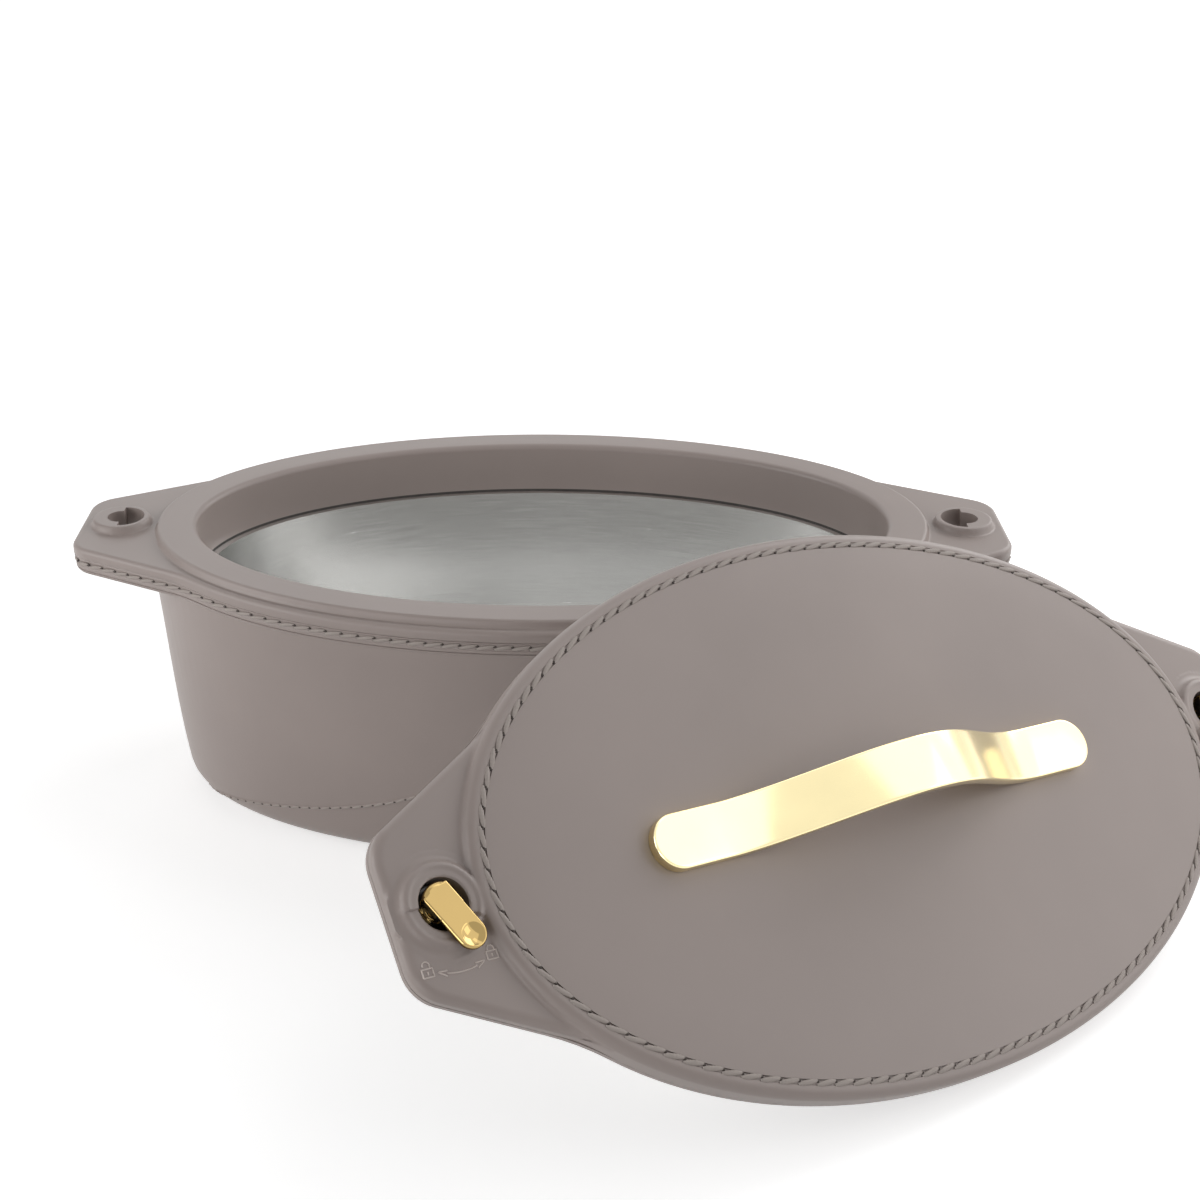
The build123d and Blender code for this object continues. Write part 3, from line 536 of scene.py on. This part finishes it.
def keyhole(side):
    """Outline of one ear's keyhole: a large and a small half circle."""
    half = math.pi / 2
    big = np.vstack([circle(0, 0, KEY_BIG_R, 48, -half, math.pi), [0, KEY_BIG_R]])
    small = np.vstack([circle(0, 0, KEY_SMALL_R, 48, half, math.pi), [0, -KEY_SMALL_R]])
    points = np.vstack([big, small])
    points[:, 0] = points[:, 0] * -side + side * BOSS_X
    return points[::-1] if side > 0 else points


cut(collar, [prism(keyhole(s), 97.0, 109.0, pot_to_world) for s in (-1, 1)])
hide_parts("rim_collar")


# ------------------------------------------------------------------ outer shell
shell_cad = nodes["outer_shell"]
shell_tree = BVHTree.FromPolygons([v.co[:] for v in shell_cad.data.vertices],
                                  [p.vertices[:] for p in shell_cad.data.polygons])


def wall_r(z, outside=True):
    """Radius in mm of the CAD wall at one height along every ray."""
    out = np.zeros(len(TH))
    for i in range(len(TH)):
        d = Vector((CO[i], SI[i], 0))
        if outside:
            hit = shell_tree.ray_cast(Vector((0, 0, z * MM)) + d * 0.25, -d)
        else:
            hit = shell_tree.ray_cast(Vector((0, 0, z * MM)), d)
        out[i] = math.hypot(hit[0].x, hit[0].y) / MM
    return out


outer = plan_r(RIM_A - BAND_IN, RIM_B - BAND_IN, -BAND_IN)
shell_rings = []
# floor, with the ring's groove
for a, b, z in ((30, 15, 1.0), (109.9, 49.9, 1.0), (109.9, 49.9, 1.8), (118.1, 58.1, 1.8),
                (118.1, 58.1, 1.0), (128.5, 66.3, 1.0)):
    shell_rings.append(ring(oval_r(a, b), z))
for z in (1.02, 1.2, 1.6, 2.2, 3.0, 4.0, 5.4, 7.0, 9.0, 11.0, 15.0, 20.0, 27.0,
          35.0, 45.0, 55.0, 65.0, 75.0, 84.0, 90.0, 92.6):
    shell_rings.append(ring(wall_r(z), z))
wall_top = shell_rings[-1][:, :2]
wall_top = np.hypot(wall_top[:, 0], wall_top[:, 1])
shell_rings.append(ring(wall_top, 93.0))
# underside of the ears, lower round strip, fine line, stitch channel, top edge
for back, z in ((2.0, EAR_LOW_Z), (1.0, 93.25), (0.5, 93.45), (0.2, 93.8), (0.05, 94.2)):
    shell_rings.append(ring(np.maximum(outer - back, wall_top), z))
for back, z in ((0.05, 94.45), (0.4, 94.5), (0.4, 94.75), (0.02, 94.85), (0.0, 95.6), (0.25, 95.9),
                (0.28, 97.0), (0.25, 98.05), (0.0, 98.3), (0.0, 98.7), (0.3, 99.0)):
    shell_rings.append(ring(outer - back, z))
for z in (98.9, 92.0, 75.0, 60.0, 45.0, 30.0, 18.0, 11.0, 8.0, 6.0, 4.6, 3.8):
    shell_rings.append(ring(wall_r(z, False), z))
shell_rings.append(ring(oval_r(60, 30), 3.5))
co, faces = rings_to_mesh(shell_rings)
shell = new_object("outer_shell_moulding", pot_to_world(co), faces, m_pot, "pot")
cutters = [prism(circle(s * BOSS_X, 0, RECESS_R), 90.0, 101.0, pot_to_world) for s in (-1, 1)]
for s in (-1, 1):
    for v in (-1, 1):
        hole = circle(s * EAR_SCREW_X, v * EAR_SCREW_Y, SCREW_HOLE_R, 40)
        cutters.append(prism(hole, 90.0, 95.4, pot_to_world))
cut(shell, cutters)
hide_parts("outer_shell")


# ------------------------------------------------------------------ strap handle
def hermite_rise():
    """One side of the arch, from the strap's flat end up to its middle."""
    t = np.linspace(0, 1, 400)
    chord = math.hypot(RISE_HALF, RISE_Z)
    x = (2 * t**3 - 3 * t**2 + 1) * -RISE_HALF + (t**3 - 2 * t**2 + t) * chord + (t**3 - t**2) * chord
    return x, (3 * t**2 - 2 * t**3) * RISE_Z


rise_x, rise_z = hermite_rise()


def rise(x):
    return np.interp(-np.abs(x), rise_x, rise_z, left=0.0)


def stadium(inset, along=150, around=28):
    """The strap's outline in plan, inset from its edge."""
    r = max(GRIP_W - inset, 0.0)
    c = GRIP_HALF - GRIP_W
    xs = np.linspace(-c, c, along)
    lower = np.column_stack([xs, np.full(along, -r)])
    a = np.linspace(-math.pi / 2, math.pi / 2, around + 2)[1:-1]
    right = np.column_stack([c + r * np.cos(a), r * np.sin(a)])
    upper = np.column_stack([xs[::-1], np.full(along, r)])
    left = np.column_stack([-c - r * np.cos(a), -r * np.sin(a)])
    return np.vstack([lower, right, upper, left])


# the strap's section: slightly crowned top, rounded edges and flat underside
offsets = [GRIP_W, 8.0, 6.5, 5.0, 3.5, 2.2, 1.4, GRIP_ROUND_TOP]
profile = [(d, GRIP_T - 0.22 * (1 - d / GRIP_W) ** 2) for d in offsets]
edge = profile[-1][1]
for a in np.linspace(0, math.pi / 2, 7)[1:]:
    profile.append((GRIP_ROUND_TOP * (1 - math.sin(a)), edge - GRIP_ROUND_TOP * (1 - math.cos(a))))
for a in np.linspace(0, math.pi / 2, 5):
    profile.append((GRIP_ROUND_LOW * (1 - math.cos(a)), GRIP_ROUND_LOW * (1 - math.sin(a))))
profile += [(2.0, 0.0), (5.0, 0.0), (GRIP_W, 0.0)]
grip_rings = []
for d, z in profile:
    p = stadium(d)
    grip_rings.append(np.column_stack([p, z + rise(p[:, 0])]))
faces = lathe_faces(len(grip_rings), len(grip_rings[0]))
co = lid_to_world(np.concatenate(grip_rings))
handle = new_object("strap_handle", co, faces, m_gold, "lid", sharp=0)
bm = bmesh.new()
bm.from_mesh(handle.data)
bmesh.ops.remove_doubles(bm, verts=bm.verts, dist=1e-6)
bmesh.ops.dissolve_degenerate(bm, edges=bm.edges, dist=1e-7)
bmesh.ops.recalc_face_normals(bm, faces=bm.faces)
bm.to_mesh(handle.data)
bm.free()
handle.data.shade_smooth()
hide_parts("lid_handle")


# ------------------------------------------------------------------ levers
DIAGONAL = 0.70711


def net(f, low, high, step):
    """Closed surface of f = 0 on a grid, moved onto the exact surface."""
    n = [int(round((high[i] - low[i]) / step)) + 1 for i in range(3)]
    axes = [low[i] + np.arange(n[i]) * step for i in range(3)]
    grid = np.stack(np.meshgrid(*axes, indexing="ij"), -1)
    v = f(grid[..., 0], grid[..., 1], grid[..., 2])
    total = np.zeros((n[0] - 1, n[1] - 1, n[2] - 1, 3))
    count = np.zeros((n[0] - 1, n[1] - 1, n[2] - 1))
    crossings = []
    for axis in range(3):
        first = [slice(None)] * 3
        second = [slice(None)] * 3
        first[axis], second[axis] = slice(0, -1), slice(1, None)
        a, b = v[tuple(first)], v[tuple(second)]
        cross = (a < 0) != (b < 0)
        t = np.where(cross, a / np.where(a == b, 1, a - b), 0)
        point = grid[tuple(first)].copy()
        point[..., axis] += t * step
        point[~cross] = 0
        o1, o2 = [i for i in range(3) if i != axis]
        for d1 in (0, 1):
            for d2 in (0, 1):
                take = [slice(None)] * 3
                take[o1] = slice(d1, n[o1] - 1 + d1)
                take[o2] = slice(d2, n[o2] - 1 + d2)
                total += point[tuple(take)]
                count += cross[tuple(take)]
        crossings.append((axis, o1, o2, cross, a < 0))
    active = count > 0
    index = np.full(active.shape, -1)
    index[active] = np.arange(active.sum())
    co = total[active] / count[active][:, None]
    faces = []
    for axis, o1, o2, cross, inside in crossings:
        at = np.argwhere(cross)
        keep = (at[:, o1] > 0) & (at[:, o2] > 0) & (at[:, o1] < n[o1] - 1) & (at[:, o2] < n[o2] - 1)
        at = at[keep]
        quad = []
        for d1, d2 in ((1, 1), (0, 1), (0, 0), (1, 0)):
            cell = at.copy()
            cell[:, o1] -= d1
            cell[:, o2] -= d2
            quad.append(index[cell[:, 0], cell[:, 1], cell[:, 2]])
        quad = np.stack(quad, 1)
        flip = inside[at[:, 0], at[:, 1], at[:, 2]]
        if axis == 1:
            flip = ~flip
        quad[~flip] = quad[~flip][:, ::-1]
        faces.append(quad)
    faces = np.concatenate(faces).tolist()
    for _ in range(3):
        e = 0.02
        x, y, z = co.T
        value = f(x, y, z)
        g = np.stack([f(x + e, y, z) - f(x - e, y, z), f(x, y + e, z) - f(x, y - e, z),
                      f(x, y, z + e) - f(x, y, z - e)], 1) / (2 * e)
        move = (value / np.maximum((g * g).sum(1), 0.1))[:, None] * g
        size = np.linalg.norm(move, axis=1, keepdims=True)
        co = co - move * np.minimum(1, 0.4 * step / np.maximum(size, 1e-9))
    return co, faces


def rounded(a, b, r):
    """Meeting of two fields with a round edge of radius r."""
    return np.minimum(np.maximum(a, b) + r, 0) + np.hypot(np.maximum(a + r, 0), np.maximum(b + r, 0)) - r


def bevelled(a, b, width):
    """Meeting of two fields with a flat bevel whose two edges are slightly round."""
    bevel = (a + b) * DIAGONAL + width * DIAGONAL
    return rounded(rounded(a, b, 0.15), bevel, 0.12)


def lever_field(x, y, z):
    """The lever with its arm along X and the lock axis along Z: arm, barrel, dish, neck, disc and peg."""
    top = z - (0.15 + 0.05 * x)
    under = (-1.5 + 0.05 * x) - z
    rear = np.where(x < 0, np.hypot(x, y) - 6.6, -5.0)
    plan = rounded(np.hypot(x - np.minimum(x, 11.0), y) - 4.75, rear, 0.6)
    plate = np.maximum(bevelled(plan, top, 0.5), under)
    plate = np.maximum(plate, rounded(rear, top, 1.6))
    hub = np.maximum(np.hypot(x - HUB_X, z - HUB_Z) - BARREL_R, top)
    barrel = bevelled(hub, np.abs(y) - 4.7, 0.3)
    d = smin(plate, barrel, 0.3)
    pocket = np.maximum(np.hypot(x - HUB_X, z - HUB_Z) - 3.8, z - (-0.55 + 0.05 * x))
    d = smax(d, -np.maximum(pocket, 3.0 - np.abs(y)), 0.15)
    dish = np.sqrt((x - 11.4) ** 2 + y**2 + (z - 6.3) ** 2) - 6.6
    d = smax(d, -dish, 0.15)
    neck = rounded(np.hypot(x, y) - 4.0, np.abs(z + 7.4) - 3.4, 0.2)
    disc = rounded(np.hypot(x, y) - 7.3, np.abs(z + 6.6) - 1.0, 0.25)
    peg = np.maximum(np.maximum(np.abs(x), np.abs(y)) - 2.6, np.abs(z + 10.0) - 4.4)
    return smin(smin(smin(d, neck, 0.4), disc, 0.4), peg, 0.2)


lever_co, lever_faces = net(lever_field, (-8.0, -8.0, -15.0), (18.6, 8.0, 6.0), 0.25)


def in_well(co, side):
    """Points of the lever in its closed place in one of the lid's wells."""
    angle = LEVER_CLOSED if side < 0 else math.pi - LEVER_CLOSED
    c, s = math.cos(angle), math.sin(angle)
    p = co.copy()
    p[:, 0], p[:, 1] = co[:, 0] * c - co[:, 1] * s, co[:, 0] * s + co[:, 1] * c
    p[:, 0] += side * BOSS_X
    return lid_to_world(p)


def end_shade(end):
    """Black D-shaped piece in one end of the barrel: painted shade in its end recess."""
    turn = np.linspace(math.pi * 0.895, math.pi * 2.105, 48)
    rings = []
    for size, y in ((1.0, 2.6), (1.0, 3.9), (0.97, 3.95)):
        rings.append(np.column_stack([END_SHADE_R * size * np.cos(turn) + HUB_X, np.full(48, end * y),
                                      END_SHADE_R * size * np.sin(turn) + HUB_Z]))
    co, faces = rings_to_mesh(rings)
    return co, ([face[::-1] for face in faces] if end < 0 else faces)


def lever(side, body, node_name):
    """One cast lever, painted black under its arm for the shade in the lid's well, and black pieces of
    painted shade in its barrel's ends.
    """
    ob = new_object(node_name + "_cast", in_well(lever_co, side), lever_faces, m_gold_shaded, body,
                    sharp=0)
    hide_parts(node_name)
    ob.data.materials.append(m_black_shade)
    x, _, z = np.array([lever_co[list(face)].mean(axis=0) for face in lever_faces]).T
    # painted shade: faces low in the well, away from the barrel, get the black
    below = (z < LEVER_SHADE_Z) & (np.hypot(x - HUB_X, z - HUB_Z) > 4.4)
    ob.data.polygons.foreach_set("material_index", below.astype(np.int32))
    co, faces = join_parts([end_shade(-1), end_shade(1)])
    new_object(node_name + "_end_shade_pieces", in_well(co, side), faces, m_black_shade, body, sharp=20.0)


lever(-1, "left_lock", "left_lever")
lever(1, "right_lock", "right_lever")


# ------------------------------------------------------------------ stitches
def thread_shape(length, width, height, ribs=7, along=22, around=10):
    """One lens-shaped stitch along X, lying on z = 0, with a twisted rib."""
    u = np.linspace(-1, 1, along)
    a = np.linspace(0, 2 * math.pi, around, endpoint=False)
    rings = []
    for v in u[1:-1]:
        body = (1 - abs(v) ** 2.2) ** 0.62
        twist = 1 + 0.10 * np.cos(ribs * math.pi * v + a)
        rings.append(np.column_stack([
            np.full(around, v * length / 2),
            np.cos(a) * width / 2 * body * twist,
            np.sin(a) * height / 2 * body * twist,
        ]))
    co = np.concatenate([[[-length / 2, 0, 0]], *rings, [[length / 2, 0, 0]]])
    faces = []
    count = len(rings)
    for i in range(count - 1):
        p, q = 1 + i * around, 1 + (i + 1) * around
        for j in range(around):
            k = (j + 1) % around
            faces.append([p + j, p + k, q + k, q + j][::-1])
    last = 1 + count * around
    for j in range(around):
        k = (j + 1) % around
        faces.append([0, 1 + j, 1 + k][::-1])
        faces.append([last, 1 + (count - 1) * around + k, 1 + (count - 1) * around + j][::-1])
    return co, faces


def place_many(shape, spots):
    """Copies of a shape at (origin, along, across, up) in metres, in one mesh."""
    co, faces = shape
    all_co, all_faces = [], []
    for n, (o, ax, ay, az) in enumerate(spots):
        m = np.array([ax, ay, az])
        all_co.append(co @ m * MM + o)
        all_faces.extend([[i + n * len(co) for i in f] for f in faces])
    return np.concatenate(all_co), all_faces


def spaced(points, pitch, closed=True):
    """Evenly spaced points on a polyline, with their directions."""
    points = np.asarray(points, float)
    if closed:
        points = np.vstack([points, points[:1]])
    seg = np.linalg.norm(np.diff(points, axis=0), axis=1)
    s = np.concatenate([[0], np.cumsum(seg)])
    n = max(int(round(s[-1] / pitch)), 1)
    at = (np.arange(n) + (0 if closed else 0.5)) * s[-1] / n

    def on_line(where):
        return np.column_stack([np.interp(where, s, points[:, i]) for i in range(points.shape[1])])

    p = on_line(at)
    e = 0.4
    after = (at + e) % s[-1] if closed else np.minimum(at + e, s[-1])
    before = (at - e) % s[-1] if closed else np.maximum(at - e, 0)
    d = on_line(after) - on_line(before)
    d /= np.linalg.norm(d, axis=1, keepdims=True)
    return p, d, s[-1] / n


def slanted(d, n, degrees):
    """Directions along and across a stitch that leans from its row."""
    side = np.cross(n, d)
    a = math.radians(degrees)
    along = d * math.cos(a) + side * math.sin(a)
    return along, np.cross(n, along)


def add_stitches(row, body, thread, spots, hole_shade_shape, holes):
    """A row's threads, and dark pieces of painted shade in the holes between them, as two pieces."""
    co, faces = place_many(thread, spots)
    new_object(row + "_stitches", co, faces, m_thread, body, sharp=0)
    co, faces = place_many(hole_shade_shape, holes)
    new_object(row + "_shade_in_holes", co, faces, m_hole_shade, body, sharp=0)


rays = np.linspace(0, 2 * math.pi, 1440, endpoint=False)
line = np.column_stack([(LID_A - STITCH_IN) * np.cos(rays), (LID_B - STITCH_IN) * np.sin(rays),
                        np.zeros(len(rays))])
p, d, pitch = spaced(line, 6.3)
spots, holes = [], []
for at, way in zip(p, d):
    side = np.cross([0, 0, 1], way)
    along, across = slanted(way, np.array([0, 0, 1.0]), STITCH_LEAN)
    spots.append((lid_to_world(at + np.array([0, 0, -0.06])), along @ LID, across @ LID, lid_n))
    hole = at + way * pitch / 2 + side * 0.42
    holes.append((lid_to_world(hole + np.array([0, 0, -0.27])), way @ LID, side @ LID, lid_n))
add_stitches("lid", "lid", thread_shape(7.6, 1.7, 1.0), spots,
             thread_shape(1.9, 0.9, 0.9, ribs=0, along=8), holes)

band = plan_r(RIM_A - BAND_IN, RIM_B - BAND_IN, -BAND_IN) - 0.28
line = np.column_stack([band * CO, band * SI, np.full(len(TH), BAND_STITCH_Z)])
p, d, pitch = spaced(line, 6.0)
spots, holes = [], []
for at, way in zip(p, d):
    out = np.cross(way, [0, 0, 1.0])
    along, across = slanted(way, out, STITCH_LEAN)
    spots.append((pot_to_world(at + out * 0.15), along, across, out))
    hole = at + way * pitch / 2 + np.array([0, 0, 0.35])
    holes.append((pot_to_world(hole + out * 0.1), way, np.cross(out, way), out))
add_stitches("pot_band", "pot", thread_shape(7.2, 1.5, 0.9), spots,
             thread_shape(1.7, 0.8, 0.8, ribs=0, along=8), holes)


# ------------------------------------------------------------------ arched seam on the wall
def seam_z(x):
    """Height of the seam over the table: low at the ends, rising to an arch in the middle."""
    return 19.5 * (1 - (abs(x) / SEAM_SPAN) ** 2.2) + 52.0 / (1 + (x / 26.0) ** 2) - 0.5


def ridge(path, normals, width, height, sunk):
    """A low round ridge along a path, closed at both ends."""
    path, normals = np.asarray(path, float), np.asarray(normals, float)
    d = np.gradient(path, axis=0)
    d /= np.linalg.norm(d, axis=1, keepdims=True)
    side = np.cross(normals, d)
    section = [(-0.5, -sunk), (-0.42, height * 0.45), (-0.2, height * 0.88), (0.0, height),
               (0.2, height * 0.88), (0.42, height * 0.45), (0.5, -sunk)]
    size = len(section)
    co = np.stack([path + side * u * width + normals * v for u, v in section], 1).reshape(-1, 3)
    faces = []
    for i in range(len(path) - 1):
        for j in range(size):
            k = (j + 1) % size
            a, b = i * size, (i + 1) * size
            faces.append([a + j, b + j, b + k, a + k])
    faces.append(list(range(size)))
    faces.append([(len(path) - 1) * size + j for j in range(size)][::-1])
    return co, faces


def wall_path(front, count=420):
    """Points and normals of the wall along the seam, in mm."""
    xs = np.sin(np.linspace(-1, 1, count) * math.pi / 2) * SEAM_HALF
    at, out = [], []
    for x in xs:
        z = seam_z(x)
        y = front * WALL_B * math.sqrt(max(1 - (x / WALL_A) ** 2, 0.0))
        d = Vector((x / WALL_A**2, y / WALL_B**2, 0)).normalized()
        hit = shell_tree.ray_cast(Vector((x, y, z)) * MM + d * 0.05, -d)
        at.append(np.array(hit[0]) / MM)
        out.append(np.array(hit[1]))
    return np.array(at), np.array(out)


spots, holes, parts = [], [], []
for front in (-1, 1):
    at, out = wall_path(front)
    parts.append(ridge(at, out, 1.7, 0.34, 0.3))
    p, d, pitch = spaced(at, 4.6, closed=False)
    for place, way in zip(p, d):
        normal = out[np.argmin(((at - place) ** 2).sum(1))]
        along, across = slanted(way, normal, 10.0)
        spots.append((pot_to_world(place + normal * 0.26), along, across, normal))
        hole = place + way * pitch / 2 + normal * 0.2
        holes.append((pot_to_world(hole), way, np.cross(normal, way), normal))
co, faces = join_parts(parts)
new_object("wall_seam_welt", pot_to_world(co), faces, m_pot, "pot")
add_stitches("wall_seam", "pot",
             thread_shape(4.6, 1.0, 0.6, ribs=5, along=16, around=8), spots,
             thread_shape(1.2, 0.8, 0.5, ribs=0, along=8, around=8), holes)


# ------------------------------------------------------------------ padlocks and arrow on the lid's ears
def arc(cx, cy, r, start, end, count=14):
    a = np.radians(np.linspace(start, end, count))
    return np.column_stack([cx + r * np.cos(a), cy + r * np.sin(a)])


def straight(*corners):
    """Points along the straight lines between corners."""
    out = []
    for a, b in zip(corners[:-1], corners[1:]):
        out.append(np.array(a) + np.outer(np.linspace(0, 1, 8, endpoint=False), np.array(b) - np.array(a)))
    return np.concatenate(out + [[corners[-1]]])


def padlock(x, y, opened):
    """Outline strokes of a padlock with its body's centre at x, y."""
    w, h, r = 1.65, 1.2, 1.05
    top = y + h + (1.0 if opened else 0.6)
    left_leg = [x - r, y + h + 0.72] if opened else [x - r, y + h]
    loop = np.vstack([left_leg, arc(x, top, r, 180, 0), [x + r, y + h]])
    body = straight((x - w, y - h), (x + w, y - h), (x + w, y + h), (x - w, y + h), (x - w, y - h + 0.05))
    keyhole = straight((x, y - 0.55), (x, y + 0.4))
    return [body, loop, keyhole]


def mark_strokes(side):
    """Strokes in mm on one ear; drawn for the left one and mirrored for the right."""
    reach, first, last, head = 19.25, -112.6, -68.0, 8.2
    strokes = padlock(-149.1, -16.9, False) + padlock(-169.6, -17.3, True)
    strokes.append(arc(-BOSS_X, 0, reach, first + head, last - head, 24))
    for turn, way in ((first, 1), (last, -1)):
        tip = arc(-BOSS_X, 0, reach, turn, turn, 1)[0]
        barbs = [arc(-BOSS_X, 0, reach + spread, turn + way * head, turn + way * head, 1)[0]
                 for spread in (0.83, -0.83)]
        strokes.append(straight(tuple(barbs[0]), tuple(tip), tuple(barbs[1])))
    return [np.column_stack([s[:, 0] * -side, s[:, 1]]) for s in strokes]


for side, name in ((-1, "left_ear_marks"), (1, "right_ear_marks")):
    parts = []
    for stroke in mark_strokes(side):
        path = np.column_stack([stroke, lid_top(stroke[:, 0], stroke[:, 1])])
        up = np.tile([0.0, 0.0, 1.0], (len(path), 1))
        parts.append(ridge(path, up, 0.5, 0.32, 0.25))
    co, faces = join_parts(parts)
    new_object(name, lid_to_world(co), faces, m_marks, "lid")


# ------------------------------------------------------------------ floor, light, camera
LIGHTS = {  # place, aim, width, height in metres and power in watts
    "softbox_right": ((0.50, -0.13, 0.39), (0.12, -0.08, 0.06), 0.8, 1.0, 1.75),
    "softbox_right_far": ((1.10, -0.30, 0.45), (0.10, -0.08, 0.06), 0.6, 0.6, 1.3),
    "softbox_left": ((-0.80, -0.34, 0.34), (-0.08, -0.03, 0.08), 0.6, 0.6, 3.6),
    "softbox_top": ((0.25, 0.20, 1.15), (0.10, -0.12, 0.08), 0.9, 0.35, 0.8),
    "softbox_low_left": ((-0.42, -1.00, 0.16), (-0.06, -0.08, 0.05), 0.5, 0.24, 1.6),
    "softbox_back": ((-0.30, 0.80, 0.80), (0.0, 0.0, 0.10), 0.9, 0.9, 2.1),
    "softbox_back_right": ((0.70, 0.50, 0.60), (0.0, 0.0, 0.10), 0.6, 0.6, 3.4),
}
for name, (at, aim, width, height, power) in LIGHTS.items():
    light = bpy.data.lights.new(name, "AREA")
    light.shape = "RECTANGLE"
    light.size = width
    light.size_y = height
    light.energy = power
    ob = bpy.data.objects.new(name, light)
    bpy.context.scene.collection.objects.link(ob)
    ob.location = at
    ob.rotation_euler = (Vector(at) - Vector(aim)).to_track_quat("Z", "Y").to_euler()


def maths(tree, operation, a, b):
    n = node(tree, "ShaderNodeMath", operation=operation)
    link(tree, a, n.inputs[0])
    link(tree, b, n.inputs[1])
    return n.outputs[0]


def background_rays(tree):
    """1 for the rays that see the white background: camera, glossy and transmission rays."""
    path = node(tree, "ShaderNodeLightPath")
    seen = maths(tree, "MAXIMUM", path.outputs["Is Camera Ray"], path.outputs["Is Glossy Ray"])
    return maths(tree, "MAXIMUM", seen, path.outputs["Is Transmission Ray"])


WHITE = (1, 1, 1, 1)
world = bpy.data.worlds.new("studio")
bpy.context.scene.world = world
world.use_nodes = True
wt = world.node_tree
dim = wt.nodes["Background"]
dim.inputs["Color"].default_value = WHITE
dim.inputs["Strength"].default_value = 0.12
bright = node(wt, "ShaderNodeBackground", Color=WHITE, Strength=1.0)
mixer = node(wt, "ShaderNodeMixShader")
link(wt, background_rays(wt), mixer.inputs["Fac"])
link(wt, dim.outputs["Background"], mixer.inputs[1])
link(wt, bright.outputs["Background"], mixer.inputs[2])
link(wt, mixer.outputs["Shader"], wt.nodes["World Output"].inputs["Surface"])

FLOOR_HALF = 6
corners = [(x * FLOOR_HALF, y * FLOOR_HALF, 0) for x, y in ((-1, -1), (1, -1), (1, 1), (-1, 1))]
me = bpy.data.meshes.new("floor")
me.from_pydata(corners, [], [(0, 1, 2, 3)])
floor = bpy.data.objects.new("floor", me)
bpy.context.scene.collection.objects.link(floor)
m_floor = bpy.data.materials.new("floor_white")
m_floor.use_nodes = True
ft = m_floor.node_tree
ft.nodes.clear()
diffuse = node(ft, "ShaderNodeBsdfDiffuse", Color=(0.82, 0.82, 0.82, 1))
glow = node(ft, "ShaderNodeEmission", Color=WHITE)
# the floor's own white rises away from the object, so that its shadow stays and the rest is white
spread = node(ft, "ShaderNodeVectorMath", operation="LENGTH")
link(ft, node(ft, "ShaderNodeTexCoord").outputs["Object"], spread.inputs[0])
fade = map_range(ft, spread.outputs["Value"], 0.56, 1.0, start=0.25, end=0.9)
link(ft, maths(ft, "MULTIPLY", background_rays(ft), fade), glow.inputs["Strength"])
adder = node(ft, "ShaderNodeAddShader")
link(ft, diffuse.outputs[0], adder.inputs[0])
link(ft, glow.outputs[0], adder.inputs[1])
link(ft, adder.outputs[0], node(ft, "ShaderNodeOutputMaterial").inputs["Surface"])
me.materials.append(m_floor)

camera = bpy.data.cameras.new("camera")
camera.lens = 57.0
camera.sensor_width = 36.0
camera.shift_x = 0.0482
camera.shift_y = 0.0349
camera.clip_start = 0.01
camera.clip_end = 50.0
cam = bpy.data.objects.new("camera", camera)
bpy.context.scene.collection.objects.link(cam)
back = Vector((0.007494, -0.89085, 0.45424)).normalized()
right = Vector((0, 0, 1)).cross(back).normalized()
up = back.cross(right)
roll = math.radians(-0.086)
turned = right * math.cos(roll) + up * math.sin(roll)
up = back.cross(turned)
cam.matrix_world = Matrix((
    (turned.x, up.x, back.x, 0.00556),
    (turned.y, up.y, back.y, -0.66122),
    (turned.z, up.z, back.z, 0.39015),
    (0, 0, 0, 1),
))
bpy.context.scene.camera = cam
bpy.context.scene.view_settings.view_transform = "Standard"
